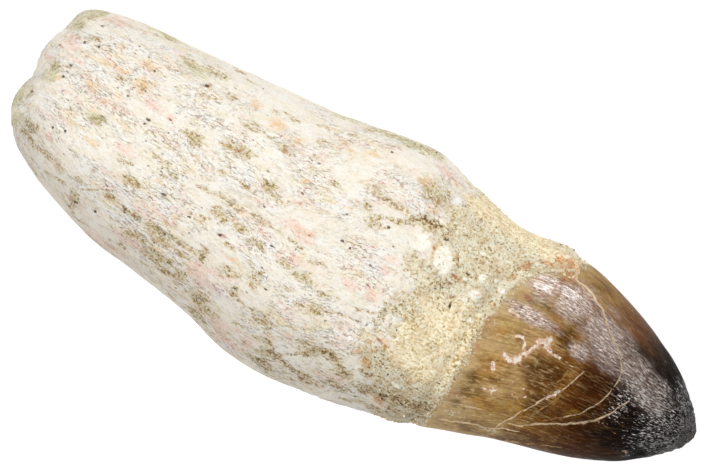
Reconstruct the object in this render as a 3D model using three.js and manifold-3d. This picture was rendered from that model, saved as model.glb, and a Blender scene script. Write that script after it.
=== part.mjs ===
// A fossil mosasaur tooth lying on its side: a long chalky root, a blunt conical crown that grew
// with it as one piece, and a collar of cemented sand round the neck between them.
// Millimetres. +X runs from the broken root end to the tip of the crown, and +Z is up.
import * as THREE from "three";
import { ImprovedNoise } from "three/addons/math/ImprovedNoise.js";
import { mergeVertices } from "three/addons/utils/BufferGeometryUtils.js";
import Module from "manifold-3d";

const { clamp, degToRad, lerp, radToDeg, smoothstep } = THREE.MathUtils;

// ---- Driving dimensions -------------------------------------------------------------------

// The tooth's outer form is drawn by four rails, each a list of [distance along X, offset] from
// the root's end to the tip: two give the width across Y, and two the height along Z. Past the
// root's end they share their distances along X.
const UPPER_EDGE = [
  [-58.6, 3], [-57.9, 10.5], [-56.3, 15], [-50, 17.2], [-40, 18], [-30, 18.6], [-20, 19.3],
  [-12, 19.8], [-4, 21.3], [3, 22], [7, 21.1], [11, 19.6], [16, 18.1], [21, 16.9],
  [24.5, 17.6], [28, 18.3], [31.5, 17.8], [36, 17], [42, 15], [48, 12.4], [53, 9.6],
  [57, 6.1], [59.3, 3.4], [59.9, 1.6],
];
const LOWER_EDGE = [
  [-58.6, 3], [-59.1, -3.5], [-56.4, -8.2], [-50, -12.1], [-40, -15.8], [-30, -17.5],
  [-20, -19.3], [-12, -21.6], [-4, -22.1], [3, -21.2], [7, -20.4], [11, -19.4], [16, -18.5],
  [21, -17.5], [24.5, -16.3], [28, -15.2], [31.5, -13.9], [36, -12.6], [42, -11.2],
  [48, -9], [53, -6.2], [57, -2.8], [59.3, -0.2], [59.9, 1.6],
];
const BACK = [
  [-58.6, 15], [-58.4, 23], [-56.4, 28.2], [-50, 31.2], [-40, 32.6], [-30, 33.4], [-20, 34],
  [-12, 34.5], [-4, 34.6], [3, 34.2], [7, 33.6], [11, 32.8], [16, 31.7], [21, 30.8],
  [24.5, 30.5], [28, 30.2], [31.5, 29.6], [36, 28.5], [42, 26.6], [48, 24], [53, 21.2],
  [57, 18.2], [59.3, 16], [59.9, 14.6],
];
const BELLY = [
  [-58.6, 15], [-58.4, 8], [-56.2, 4.2], [-50, 2.1], [-40, 1.1], [-30, 0.4], [-20, -0.2],
  [-12, -0.5], [-4, -0.5], [3, 0.2], [7, 1.1], [11, 2.1], [16, 3.1], [21, 3.8],
  [24.5, 4.2], [28, 4.6], [31.5, 5], [36, 5.7], [42, 6.9], [48, 8.5], [53, 10.1],
  [57, 12], [59.3, 13.4], [59.9, 14.6],
];
const ROOT_SQUARENESS = 2.35; // the power of the section's superellipse: 2 is an ellipse
const CROWN_SQUARENESS = 2.1;
const CROWN_SHARE = [18, 34]; // along X, where the section turns from the root's to the crown's

// The collar's two edges, as distances along X at each twelfth of a turn round the tooth,
// from its upper edge over its back.
const COLLAR_ROOT_EDGE = [10, 9, 6.6, 7.2, 7, 6, 3.4, 4.8, 6.8, 8.2, 9.4, 10];
const COLLAR_CROWN_EDGE = [32, 30, 22.4, 21.5, 21.3, 20.8, 21, 21.4, 22, 23, 25, 29];
const NECK_DEPTH = 2.6; // how far the neck lies under the collar's outside
const NECK_WALL = 0.4; // the power of the neck's sides: under 1 they are steep
const COLLAR_OVERHANG = 0.03; // how far the collar laps past the neck, as a share of its length
const COLLAR_LIP = 0.25; // the power of the collar's rounded lips: under 1 they are blunt
const COLLAR_CORE = 1; // how far the collar's blank reaches under the neck before it is cut
const SKIN_GAP = 0.3; // between the tooth's skin and the collar

const SWELL = { height: 2, across: 15, stretch: 2 }; // the root's broad unevenness
const CROWN_SWELL = 0.3; // the crown's share of it
const FIBRE = { height: 1.1, across: 5, stretch: 5 }; // the root's narrow lengthwise ridges
const ROOT_FORMS_FADE = [0, 12]; // along X, where the root's own relief runs out
const EDGE_FADE = 6; // the power that keeps relief off the widest edges
const BELLY_FADE = 0.1; // the share of the height over the belly that stays smooth
const SAND = { height: 1.1, across: 5, stretch: 1 }; // the humps of the sand
const FINE_SAND = { height: 0.55, across: 2.6, stretch: 1 };
const SAND_PROUD = 0.5; // how far the sand stands over the skin beside it
const CARINA_HEIGHT = 1; // the two cutting edges that run down the crown to its tip
const CARINA_SPREAD = 16; // in degrees round the crown
const CARINA_ANGLES = [42, 68]; // where the front one starts and ends, in degrees
const CARINA_TURNS = [30, 58]; // along X, where it wanders from one angle to the other
const CARINA_RISES = [27, 36];
const CARINA_SINKS = [55, 59];
const FLAT_BLOCK = 200; // the block that cuts the small flat which the root rests on

const TOOTH_RINGS = 92;
const NECK_RINGS = [42, 54]; // the two of them that follow the collar's edges
const TOOTH_SIDES = 38;
const COLLAR_SIDES = 58;
const COLLAR_SECTION = 16;

// Low forms, each seen square on: centre [x, y], half sizes, height out of the skin (under 0 is
// a hollow) and the turn of its long axis in degrees.
const ROOT_BACK_FORMS = [
  { at: [-41, -10.6], half: [8, 2], height: -1.2, turn: -8 },
  { at: [-26, -11], half: [8, 1.9], height: -0.8, turn: 0 },
  { at: [-45, -5.6], half: [6, 3], height: 0.7, turn: -14 },
  { at: [-56, 2.6], half: [9, 1.5], height: -1.1, turn: 4 },
  { at: [-19, -1.6], half: [11, 1.2], height: -0.5, turn: -2 },
  { at: [-25, 7], half: [4, 1.8], height: -0.4, turn: 0 },
  { at: [-32, 14.6], half: [10, 1.6], height: -0.5, turn: 2 },
  { at: [-1, 17.6], half: [8, 2], height: 0.6, turn: -2 },
  { at: [-3, -16.2], half: [9, 1.6], height: -0.8, turn: 6 },
  { at: [-2, 10.6], half: [7, 1], height: -0.5, turn: -2 },
  { at: [-12, 3], half: [9, 4], height: 0.4, turn: 0 },
];
const ROOT_BELLY_FORMS = [
  { at: [-44, 8], half: [9, 2], height: -0.9, turn: 6 },
  { at: [-38, -9], half: [12, 2], height: -0.8, turn: -4 },
  { at: [-8, 12], half: [10, 1.8], height: -0.8, turn: -6 },
  { at: [-10, -13], half: [9, 2.2], height: -0.7, turn: 5 },
  { at: [-56, 0], half: [8, 1.8], height: -0.9, turn: 0 },
];
const COLLAR_BACK_FORMS = [
  { at: [7.6, 7.4], half: [1.8, 2.4], height: 0.7, turn: 0 },
  { at: [11.2, 6.6], half: [2, 3], height: 0.8, turn: 0 },
  { at: [18.7, 4.8], half: [1.6, 1.4], height: 0.6, turn: 0 },
  { at: [18.6, 7.6], half: [1.3, 1.3], height: 0.5, turn: 0 },
  { at: [29.6, 15], half: [1.8, 1.8], height: 1, turn: 0 },
  { at: [15, 3.4], half: [1.3, 3.2], height: -0.7, turn: -10 },
  { at: [13.6, -16.8], half: [1.2, 2.4], height: -1, turn: 8 },
  { at: [14, -3.6], half: [5, 6.5], height: -0.4, turn: 0 },
];
const COLLAR_BELLY_FORMS = [
  { at: [14, 6], half: [3, 4], height: 0.7, turn: 20 },
  { at: [16, -7], half: [4, 3], height: -0.7, turn: 0 },
  { at: [10, -12], half: [2.4, 2.4], height: 0.7, turn: 0 },
];
// Bosses of the broken root end, which stand out along X and leave a notch between the first
// two: [y, z], half sizes and height.
const ROOT_END_BOSSES = [
  { at: [5.8, 20], half: [2, 6], height: 1, turn: 0 },
  { at: [-1.4, 19], half: [3, 7], height: 0.9, turn: 0 },
  { at: [-5, 9], half: [4, 4], height: 0.6, turn: 0 },
  { at: [8, 8], half: [4.5, 4], height: 0.5, turn: 0 },
  { at: [3, 12], half: [2.2, 5], height: -0.9, turn: 20 },
];
const ROOT_END_FADE = [-59, -52];
const ROOT_END_ROUGHNESS = { height: 0.9, across: 4, stretch: 1 };

// ---- Shape helpers ------------------------------------------------------------------------

const railOf = (points) => new THREE.SplineCurve(points.map(([x, v]) => new THREE.Vector2(x, v)));
const upperRail = railOf(UPPER_EDGE);
const lowerRail = railOf(LOWER_EDGE);
const backRail = railOf(BACK);
const bellyRail = railOf(BELLY);

const loopOf = (values) =>
  new THREE.CatmullRomCurve3(values.map((x) => new THREE.Vector3(x, 0, 0)), true);
const rootEdgeLoop = loopOf(COLLAR_ROOT_EDGE);
const crownEdgeLoop = loopOf(COLLAR_CROWN_EDGE);
const turnShare = (angle) => ((angle / (2 * Math.PI)) % 1 + 1) % 1;
const rootEdgeAt = (angle) => rootEdgeLoop.getPoint(turnShare(angle)).x;
const crownEdgeAt = (angle) => crownEdgeLoop.getPoint(turnShare(angle)).x;

const noise = new ImprovedNoise();
const NOISE_PLACE = 37.3; // away from the lattice point at the origin
const grain = ({ x, y, z }, { height, across, stretch }) =>
  height * noise.noise(x / (across * stretch) + NOISE_PLACE, y / across + NOISE_PLACE,
    z / across + NOISE_PLACE);

// The sum of the forms in a list, at one place seen square on.
function formsAt(forms, x, y) {
  return forms.reduce((sum, { at, half, height, turn }) => {
    const c = Math.cos(degToRad(turn));
    const s = Math.sin(degToRad(turn));
    const along = ((x - at[0]) * c + (y - at[1]) * s) / half[0];
    const across = ((y - at[1]) * c - (x - at[0]) * s) / half[1];
    return sum + height * Math.exp(-along * along - across * across);
  }, 0);
}

const power = (value, exponent) => Math.sign(value) * Math.abs(value) ** exponent;

// One point of the smooth outer form: t runs from the root's end (0) to the tip (1), and the
// angle starts at the upper edge and turns over the back.
function outerPoint(t, angle) {
  const c = Math.cos(angle);
  const s = Math.sin(angle);
  const upper = upperRail.getPoint(t);
  const lower = lowerRail.getPoint(t);
  const back = backRail.getPoint(t);
  const belly = bellyRail.getPoint(t);
  const x = c * c * (c > 0 ? upper.x : lower.x) + s * s * (s > 0 ? back.x : belly.x);
  const crownShare = smoothstep(x, ...CROWN_SHARE);
  const squareness = lerp(ROOT_SQUARENESS, CROWN_SQUARENESS, crownShare);
  const across = power(c, 2 / squareness);
  const up = power(s, 2 / squareness);
  const halfWidth = (upper.y - lower.y) / 2;
  const halfHeight = (back.y - belly.y) / 2;
  return {
    place: new THREE.Vector3(x, (upper.y + lower.y) / 2 + across * halfWidth,
      (back.y + belly.y) / 2 + up * halfHeight),
    outward: new THREE.Vector3(0, across * halfHeight, up * halfWidth).normalize(),
    across,
    up,
  };
}

// How far along the rails a distance along X lies, where all four rails share it.
function stationAt(x) {
  let low = 0;
  let high = 1;
  for (let step = 0; step < 24; step++) {
    const middle = (low + high) / 2;
    if (upperRail.getPoint(middle).x < x) low = middle;
    else high = middle;
  }
  return (low + high) / 2;
}

// The waist that holds the collar: full depth in the middle and none at its two edges.
function neckDepth(x, angle) {
  const share = (x - rootEdgeAt(angle)) / (crownEdgeAt(angle) - rootEdgeAt(angle));
  return share > 0 && share < 1 ? NECK_DEPTH * Math.sin(Math.PI * share) ** NECK_WALL : 0;
}

// ---- The tooth ----------------------------------------------------------------------------

// One cutting edge wanders from the crown's upper side towards the middle of the tip, and the
// other lies opposite, on the belly side. Each is a crease, steep on both flanks.
const carinaAngle = (x) =>
  lerp(...CARINA_ANGLES, smoothstep(x, ...CARINA_TURNS));

function carinaAt(x, angle) {
  const degrees = radToDeg(angle);
  const front = Math.abs(degrees - carinaAngle(x)) / CARINA_SPREAD;
  const rear = Math.abs(degrees - carinaAngle(x) - 180) / CARINA_SPREAD;
  const along = smoothstep(x, ...CARINA_RISES) * (1 - smoothstep(x, ...CARINA_SINKS));
  return CARINA_HEIGHT * along * (Math.exp(-front) + Math.exp(-rear));
}

// Relief along the outward direction. It fades at the silhouette of the view from above, and
// at the belly, which stays low so that the tooth lies steady.
function toothRelief({ place, across, up }, angle) {
  const { x, y } = place;
  const inside = 1 - Math.abs(across) ** EDGE_FADE;
  const root = 1 - smoothstep(x, ...ROOT_FORMS_FADE);
  const forms = up > 0 ? ROOT_BACK_FORMS : ROOT_BELLY_FORMS;
  const lowForms = formsAt(forms, x, y) * root * inside;
  const swells = grain(place, SWELL) * inside * lerp(CROWN_SWELL, 1, root);
  const fibres = grain(place, FIBRE) * root * inside;
  const belly = smoothstep(1 + up, 0, BELLY_FADE);
  return (lowForms + swells + fibres) * belly + carinaAt(x, angle);
}

// How far the broken root end stands out along X.
function rootEndRelief(place) {
  const share = 1 - smoothstep(place.x, ...ROOT_END_FADE);
  return share * (formsAt(ROOT_END_BOSSES, place.y, place.z) + grain(place, ROOT_END_ROUGHNESS));
}

function skinPoint(t, angle, grow) {
  const point = outerPoint(t, angle);
  const atPole = Math.min(t, 1 - t) < 1e-6;
  const relief = toothRelief(point, angle) - neckDepth(point.place.x, angle);
  const place = point.place.clone().addScaledVector(point.outward, atPole ? 0 : relief + grow);
  place.x -= rootEndRelief(place);
  return place;
}

// How far along the rails a ring lies. Between the neck's two rings and the tooth's two ends the
// others are spread evenly.
function ringPlace(ring, angle) {
  const rings = [0, ...NECK_RINGS, TOOTH_RINGS];
  const places = [0, stationAt(rootEdgeAt(angle)), stationAt(crownEdgeAt(angle)), 1];
  const stretch = clamp(rings.findLastIndex((mark) => mark <= ring), 0, 2);
  const share = (ring - rings[stretch]) / (rings[stretch + 1] - rings[stretch]);
  return lerp(places[stretch], places[stretch + 1], share);
}

// A sphere whose rings become the sections of the tooth, from the root at its +Y pole.
// A grown tooth stands out of the true one by that much all round.
function toothGeometry(grow = 0) {
  const geometry = new THREE.SphereGeometry(1, TOOTH_SIDES, TOOTH_RINGS);
  const position = geometry.getAttribute("position");
  for (let i = 0; i < position.count; i++) {
    const v = new THREE.Vector3().fromBufferAttribute(position, i);
    const ring = Math.round(TOOTH_RINGS * Math.acos(clamp(v.y, -1, 1)) / Math.PI);
    const angle = (Math.atan2(v.z, v.x) + 2 * Math.PI) % (2 * Math.PI);
    position.setXYZ(i, ...skinPoint(ringPlace(ring, angle), angle, grow));
  }
  return geometry;
}

// ---- The matrix collar --------------------------------------------------------------------

// Sand stands in low humps, with bone chips and a crusty knob fused in it.
function sandRelief({ place, across, up }) {
  const inside = 1 - Math.abs(across) ** EDGE_FADE;
  const forms = up > 0 ? COLLAR_BACK_FORMS : COLLAR_BELLY_FORMS;
  const humps = grain(place, SAND) + grain(place, FINE_SAND);
  return (formsAt(forms, place.x, place.y) + humps) * inside;
}

// The collar's blank: a torus whose section becomes a lens. Its outside is the form that the
// tooth would have if the neck weren't there, and its inside lies under the neck.
function collarBlank() {
  const geometry = new THREE.TorusGeometry(2, 1, COLLAR_SECTION, COLLAR_SIDES);
  const position = geometry.getAttribute("position");
  for (let i = 0; i < position.count; i++) {
    const v = new THREE.Vector3().fromBufferAttribute(position, i);
    const angle = (Math.atan2(v.y, v.x) + 2 * Math.PI) % (2 * Math.PI);
    const out = clamp(Math.hypot(v.x, v.y) - 2, -1, 1);
    const share = 0.5 + (0.5 + COLLAR_OVERHANG) * clamp(v.z, -1, 1);
    const x = rootEdgeAt(angle) + share * (crownEdgeAt(angle) - rootEdgeAt(angle));
    const point = outerPoint(stationAt(x), angle);
    const reach = out > 0 ? SAND_PROUD + sandRelief(point) : NECK_DEPTH + COLLAR_CORE;
    const lift = toothRelief(point, angle) + reach * power(out, COLLAR_LIP);
    position.setXYZ(i, ...point.place.addScaledVector(point.outward, lift));
  }
  return geometry;
}

// ---- Solids -------------------------------------------------------------------------------

const wasm = await Module();
wasm.setup();

function solidOf(geometry) {
  const bare = new THREE.BufferGeometry()
    .setAttribute("position", geometry.getAttribute("position"))
    .setIndex(geometry.getIndex());
  const merged = mergeVertices(bare, 1e-3);
  return new wasm.Manifold(new wasm.Mesh({
    numProp: 3,
    vertProperties: merged.getAttribute("position").array,
    triVerts: new Uint32Array(merged.getIndex().array),
  }));
}

function geometryOf(solid) {
  const { vertProperties, triVerts } = solid.getMesh();
  return new THREE.BufferGeometry()
    .setAttribute("position", new THREE.BufferAttribute(vertProperties, 3))
    .setIndex(new THREE.BufferAttribute(triVerts, 1));
}

// Everything under Z = 0 comes off, which leaves the small flat that the root rests on.
function toothWithFlat() {
  const block = new THREE.BoxGeometry(FLAT_BLOCK, FLAT_BLOCK, FLAT_BLOCK);
  block.translate(0, 0, -FLAT_BLOCK / 2);
  return geometryOf(solidOf(toothGeometry()).subtract(solidOf(block)));
}

// What the grown tooth leaves of the blank. Its largest body is the collar: the rest is crumbs.
function collarRing() {
  const left = solidOf(collarBlank()).subtract(solidOf(toothGeometry(SKIN_GAP)));
  const bodies = left.decompose().sort((a, b) => b.volume() - a.volume());
  return geometryOf(bodies[0]);
}

function meshOf(name, geometry, look) {
  geometry.computeVertexNormals();
  const mesh = new THREE.Mesh(geometry, new THREE.MeshStandardMaterial(look));
  mesh.name = name;
  return mesh;
}

const tooth = meshOf("tooth", toothWithFlat(),
  { color: 0xf0e6d3, roughness: 0.85, metalness: 0 });
const collar = meshOf("matrix_collar", collarRing(),
  { color: 0xe7dbc0, roughness: 0.95, metalness: 0 });

// The origin is under the middle of the tooth's box, on the surface that it lies on.
const part = new THREE.Group();
part.add(tooth, collar);
const middle = new THREE.Box3().setFromObject(part).getCenter(new THREE.Vector3());
for (const mesh of [tooth, collar]) mesh.position.set(-middle.x, -middle.y, 0);

export default part;
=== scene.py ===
"""The looks of a fossil mosasaur tooth that lies on its side: a chalky root, a glossy crown and a
collar of cemented sand between them. Meshes are worked in millimetres and made metres at the end.
"""
import math

import bmesh
import bpy
import numpy as np
from mathutils import Euler, Matrix, Vector, noise
from mathutils.bvhtree import BVHTree


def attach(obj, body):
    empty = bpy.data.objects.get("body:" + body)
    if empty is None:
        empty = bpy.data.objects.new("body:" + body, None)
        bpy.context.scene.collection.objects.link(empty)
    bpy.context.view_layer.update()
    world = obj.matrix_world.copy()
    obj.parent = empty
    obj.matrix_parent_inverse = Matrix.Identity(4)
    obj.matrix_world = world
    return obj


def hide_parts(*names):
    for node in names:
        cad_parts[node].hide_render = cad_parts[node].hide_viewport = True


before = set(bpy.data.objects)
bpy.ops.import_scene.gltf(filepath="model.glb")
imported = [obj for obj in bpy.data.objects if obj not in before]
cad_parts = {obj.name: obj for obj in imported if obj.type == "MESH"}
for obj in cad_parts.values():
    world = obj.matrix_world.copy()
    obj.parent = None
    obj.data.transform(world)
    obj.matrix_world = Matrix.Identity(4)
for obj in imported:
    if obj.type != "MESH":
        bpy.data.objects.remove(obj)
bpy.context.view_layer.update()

MM = 0.001

# ---- Sizes, in millimetres ------------------------------------------------------------------

SPLIT_X = 16.5  # where the root's mesh and the crown's mesh meet, out of sight under the sand
SPLIT_SNAP = 1e-5
ROOT_VOXEL = 0.365
CROWN_VOXEL = 0.24
SMOOTH_LEVELS = 2
WELD = 1e-6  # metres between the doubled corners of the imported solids
JOIN_ANGLES = (0.6, 1.2)  # radians: how far from flat and from a rectangle joined facets may be

STATION_STEP = 1.5  # between the sections that the tooth's middle line is worked out from
STATION_ENDS = (-55, 57)
ROD_HALF = (20, 16)  # the straight rod that the grain of the bone and enamel is laid out on

COLLAR_TURNS = 620
COLLAR_ROWS = 124
COLLAR_INNER_ROWS = 4
COLLAR_LAP = 3.2  # how far the sand's mesh runs past the solid collar, under the skin
COLLAR_DEPTH = 1.6
SAND_SUNK = 0.4
SAND_FILM = 0.1
SAND_TRIM = 0.2  # how much lower the sand lies than the solid collar
COLLAR_WALL = 0.5
SEAM = 1e-3
EDGE_INSET = 0.9  # this far in, the solid collar has its full height at every turn
ROOT_TAPER = (-0.8, 1.8)  # from the solid collar's edge: where its height begins, and is full
CROWN_TAPER = (1, -3.4)
EDGE_TURNS = 72
FAR_OUT = 60

# Along X, where things begin and where they are full.
SILT_ON_END = (-55, -59)
SPONGE_ON_END = (-54, -59)
NECK = (4, 9)
ROOT_BURIED = (12, 9)
CROWN = (18, 59)
CROWN_OUT_OF_SAND = (19, 23)
WRINKLES = (26, 44)
WORN = (44, 54)
TIP = (52, 58)
# Across the tooth, as shares of its half sizes: the back and the crown's two smooth faces.
BACK = (-0.25, 0.1)
SMOOTH_FACE = (0.62, 0.74)
UNDER_FACE = (0.7, 0.82)

COLLAR_GRAINS = 1300
PIT_GRAINS = 260
GRAIN_RADII = (0.08, 0.19)
GRAIN_STRETCH = (0.7, 1.25)
GRAIN_STANDS = 0.35  # how far a grain's middle stands out, as a share of its radius
GRAIN_SEED = 11
SANDY_COLLAR, SANDY_PIT = 0.3, 0.2  # the least sand that a grain lies on
MOST_EVEN = 0.2  # past it the sand is too even for loose grains
OUTER = 0.3  # the least that a place on the collar faces outwards

# How far the relief stands out of the smooth form, or sinks under it.
FIBRE, FINE_FIBRE, ROOT_LUMP = 0.1, 0.05, 0.12
PACKED, GROOVE, PIT, SPONGE = -0.03, -0.16, -0.3, -0.5
HUMP, GRIT, SAND_CRACK, CRUST = 0.14, 0.12, -0.3, 0.2
STRIA, WRINKLE, CROWN_LUMP, TIP_ROUGHNESS = 0.03, 0.07, 0.1, 0.16
CROWN_CRACK, CROWN_CHIP = -0.12, -0.12
# The crusty knob at the foot of the crown's cutting edge.
KNOB = (29.8, 15.4)
KNOB_RADIUS = 1.15
KNOB_WALL = 0.45
KNOB_HEIGHT = 0.6

OFF_LINES = 99  # what a field of lines says where it has none
LINE_REACH = 9  # no field of lines is kept past so many half widths

# ---- Studio, in millimetres -----------------------------------------------------------------

CAMERA_HEIGHT = 1000
OUTLINE_HEIGHT = 17  # above the floor, where the tooth is widest
VIEW_WIDTH = 111.3
VIEW_MIDDLE = (-2.39, 3.96)
VIEW_TURN = 28.5
SENSOR = 36
FLOOR_SIZE = 1500
FLOOR_TONE = 0.35
FLOOR_GLOW = 0.82
STUDIO_GLOW = 0.36
SOFTBOXES = [  # name, place, width, watts
    ("key", (60, 430, 400), 200, 1.35),
    ("fill", (-150, -150, 560), 380, 2),
]

# ---- Marks on the side that lies up: places are (x, y) as the camera sees them ---------------
# Each oval is x, y, half length, half width and, where it is turned, its turn in degrees. Each
# groove or crack is its half width and then the x and y of every point that it runs through.

# Pale and dark sandy fillings of shallow hollows in the root.
TAN_SAND = [
    (-56, 12.8, 0.8, 0.6, 30), (-54.8, 14.5, 0.8, 0.4, 30), (-53.6, 16, 0.6, 0.3, 30),
    (-52.8, 11.8, 1, 0.5, 20), (-56.5, 5, 0.8, 1, 20), (-46.6, 8.4, 1, 0.4), (-46.4, 0.6, 1.2, 1),
    (-42.6, 17.6, 1.5, 0.35), (-44.6, -8.9, 0.8, 0.5), (-53.2, -0.2, 1, 0.3, -10),
    (-37, -5, 1.8, 0.7), (-39.4, -3, 1.4, 0.3), (-31.8, 5.4, 1.9, 0.9, -4), (-29.7, 14, 0.9, 0.4),
    (-33.8, 16.4, 2.2, 0.6), (-37.3, 15.5, 1.3, 0.5), (-22.5, 15.2, 1.2, 0.3),
    (-20, 15.6, 1.4, 0.3), (-25.2, 11.6, 1.6, 0.6), (-21.6, 11.6, 1.7, 0.3),
    (-18.6, 11, 1.6, 0.7), (-25, 7.1, 2.6, 0.8), (-23, 7.8, 1.6, 0.5, 8), (-17.9, 4.7, 1, 1.1),
    (-16.6, 3.4, 1, 0.35), (-20.7, 2.8, 1.9, 0.3), (-25.4, 2.8, 1, 0.4), (-27, -0.8, 0.9, 0.4),
    (-31.6, -1.2, 1, 0.4), (-22.2, -3.2, 2, 1), (-19, -3.4, 1.1, 0.8), (-24.6, -4.8, 0.9, 0.3),
    (-15, -4.6, 1.4, 0.5), (-18.6, -6.8, 1.2, 0.4), (-14.6, -7.2, 0.8, 0.4),
    (-16.8, -10.7, 1.2, 0.5), (-29.6, -11, 2, 0.7, -20), (-24.8, -11.3, 1.4, 0.5),
    (-28.6, -13.4, 1.8, 0.6, -10), (-26.4, -14, 2, 0.5), (-26, -15.2, 1.6, 0.3),
    (-33, -12.6, 1.6, 0.4), (-17, -17.2, 1.2, 0.5), (-19.4, -18.4, 1, 0.2), (-9.8, 18, 1.2, 0.4),
    (-13.8, 14.5, 1.2, 0.5), (-14.6, 16.9, 1, 0.3), (5.6, 16, 2.4, 1.8), (-3, 8.9, 1.2, 0.5),
    (-0.6, 7.4, 1.2, 1.4), (-8.6, 9.4, 1.2, 0.5), (-9.6, -5.2, 1.6, 0.5), (-6, -5.7, 2, 1),
    (-2, -6.5, 1.4, 0.5), (-5.8, -2.6, 1.2, 0.4), (-12.9, -9.4, 0.9, 0.6),
    (-12.6, -10.6, 1.1, 0.4), (-2, -9, 1, 0.8), (-7.3, -8.5, 1.3, 0.25), (-5, -9.5, 1, 0.25),
    (-8.9, -14.6, 1.3, 0.6), (2.9, -10.6, 1.6, 0.5), (7.4, 5.2, 1, 1.2), (7.4, -5, 0.7, 3),
    (8.6, -12, 1.3, 1.6), (3, 9.6, 2, 0.6, 20), (0.5, 21.2, 4, 0.5, 6), (2.4, 21.4, 1.6, 0.7),
    (-43.6, -11.8, 1.1, 1), (-29.3, -11.2, 1.7, 1.2), (-32, -12.4, 1.8, 0.7),
    (-28.8, -13.7, 1.6, 0.7), (-26.6, -13.8, 1.8, 0.9), (-23.6, -14.7, 1.4, 0.8, -10),
    (-17, -17.5, 1.9, 0.9), (-17, -10.6, 2, 0.7), (-14.8, -12.6, 0.9, 0.8),
    (-12.8, -9.4, 0.9, 1.5), (-2.6, -9.2, 1.2, 1.2), (-9.8, -14, 1.9, 0.5),
    (-8.4, -14.7, 1.7, 0.7), (-6.8, -17.3, 1.6, 0.5), (-11.2, -17, 1.2, 0.3),
    (0.4, -15.3, 1.8, 0.9), (-5.6, -19.3, 1.8, 0.6), (-13.2, -13.6, 1, 0.3),
    (-38.6, -8.8, 1.2, 0.6),
]
# Dark sand; the ovals low on the neck's flank, below y -13 from x 9 to 23, are painted shade as
# well.
DARK_SAND_AND_SHADE = [
    (-57.9, -0.6, 0.6, 1), (-55.3, -5.2, 1.2, 0.9, -20), (-39, -9.2, 0.9, 0.5),
    (-35.2, -9.7, 1.7, 0.6), (-21.9, -9.8, 1, 1.2, -10), (7.2, 11.7, 2.6, 1, 12),
    (3, -14.4, 2, 0.7, 5), (6, -15.8, 1.8, 0.8), (14.4, -15.6, 2, 0.8, 10),
    (9.4, -14.2, 1.6, 0.7), (-29.4, -10.1, 1.6, 0.6), (-19.2, -16.2, 1.4, 0.9),
    (-2.2, -18.9, 2, 0.7), (-4.8, -18.3, 2, 0.5, 8), (1.4, -19.3, 3.4, 0.7),
    (-18.2, -18.9, 1.8, 0.4, -8), (15, -14.2, 0.8, 1), (19.6, -14.4, 2.6, 0.7, 14),
    (-34.6, -9.7, 1.5, 0.7), (6.4, -18.2, 2.4, 0.6, 5), (-5, -20.6, 4, 0.5),
    (16.4, -15.4, 3.4, 1, 8), (22, -13.8, 2.2, 0.8, 14), (11, -16.4, 2.4, 0.8, 5),
    (12.2, -14, 1.4, 0.6),
]
# Narrow lengthwise grooves packed with dark sand, and one shallow crease painted dark as shade.
DARK_GROOVES = [
    (0.4, -56, -6.2, -54.6, -6.9, -53, -7.6, -51.2, -7.9, -49.4, -8.2, -47.6, -9),
    (0.2, -50, -10.3, -48, -10.5, -46.2, -10.5), (0.16, -48.6, -5.2, -46.8, -5.7),
    (0.4, -24.4, -0.6, -22.5, -0.9, -20.2, -0.9), (0.26, -20.2, -0.9, -17.4, -0.6),
    (0.46, -17.4, -0.7, -16.2, -1, -15, -0.9), (0.24, -27.8, -0.9, -25.4, -0.9),
    (0.26, -15, -0.9, -12, -1.3, -8.6, -1.7), (0.12, -8.6, -1.7, -5.4, -0.8, -2, -0.6),
    (0.42, -31.4, -9.9, -28, -10.1, -25, -10, -22, -10.4), (0.14, -34, -1.9, -28, -1.9),
    (0.14, -34.2, 12.4, -31.6, 12.4), (0.14, -29.4, 17.6, -26, 17.6),
    (0.12, -31.6, 18.2, -29.4, 18.2), (0.12, -43, -2.2, -39, -2.4), (0.12, -41, -3.3, -39, -3.6),
    # Painted shade along a shallow crease, not sand.
    (0.12, -44, -10.2, -41, -8.8, -38.6, -7.6),
    (0.5, -4, 11.8, -1, 11.4, 2.4, 11.5, 4.4, 10.6, 6, 11), (0.2, 0.2, 6.6, 1.8, 7.8),
    (0.2, -1, -8.8, 1.4, -8, 5, -7.6), (0.2, 0, -6, 3.4, -6, 5.6, -5.4, 7.6, -4.6),
    (0.46, -2, -14.8, 0.5, -14.6, 2.8, -14, 4.6, -14.8, 7.4, -16), (0.2, -1.6, -16.4, 0.4, -16),
    (0.24, -7.6, -17, -5, -17.8), (0.2, -4.4, -18.4, -3.4, -18.4),
    (0.2, -9, 19.6, -6, 20.6, -2, 21.2, 2, 21.6), (0.2, -4.4, -18.8, -3, -17.6, -1.6, -16.8),
    (0.16, -21.8, -16.5, -19.8, -16.6), (0.2, -26.6, -15.2, -24.2, -15.1),
    (0.14, -44, -14.2, -40.6, -14.6), (0.14, -36, -14.9, -33, -15),
    (0.2, 8, -19.6, 11, -18.6, 14, -18.2),
]
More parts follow.
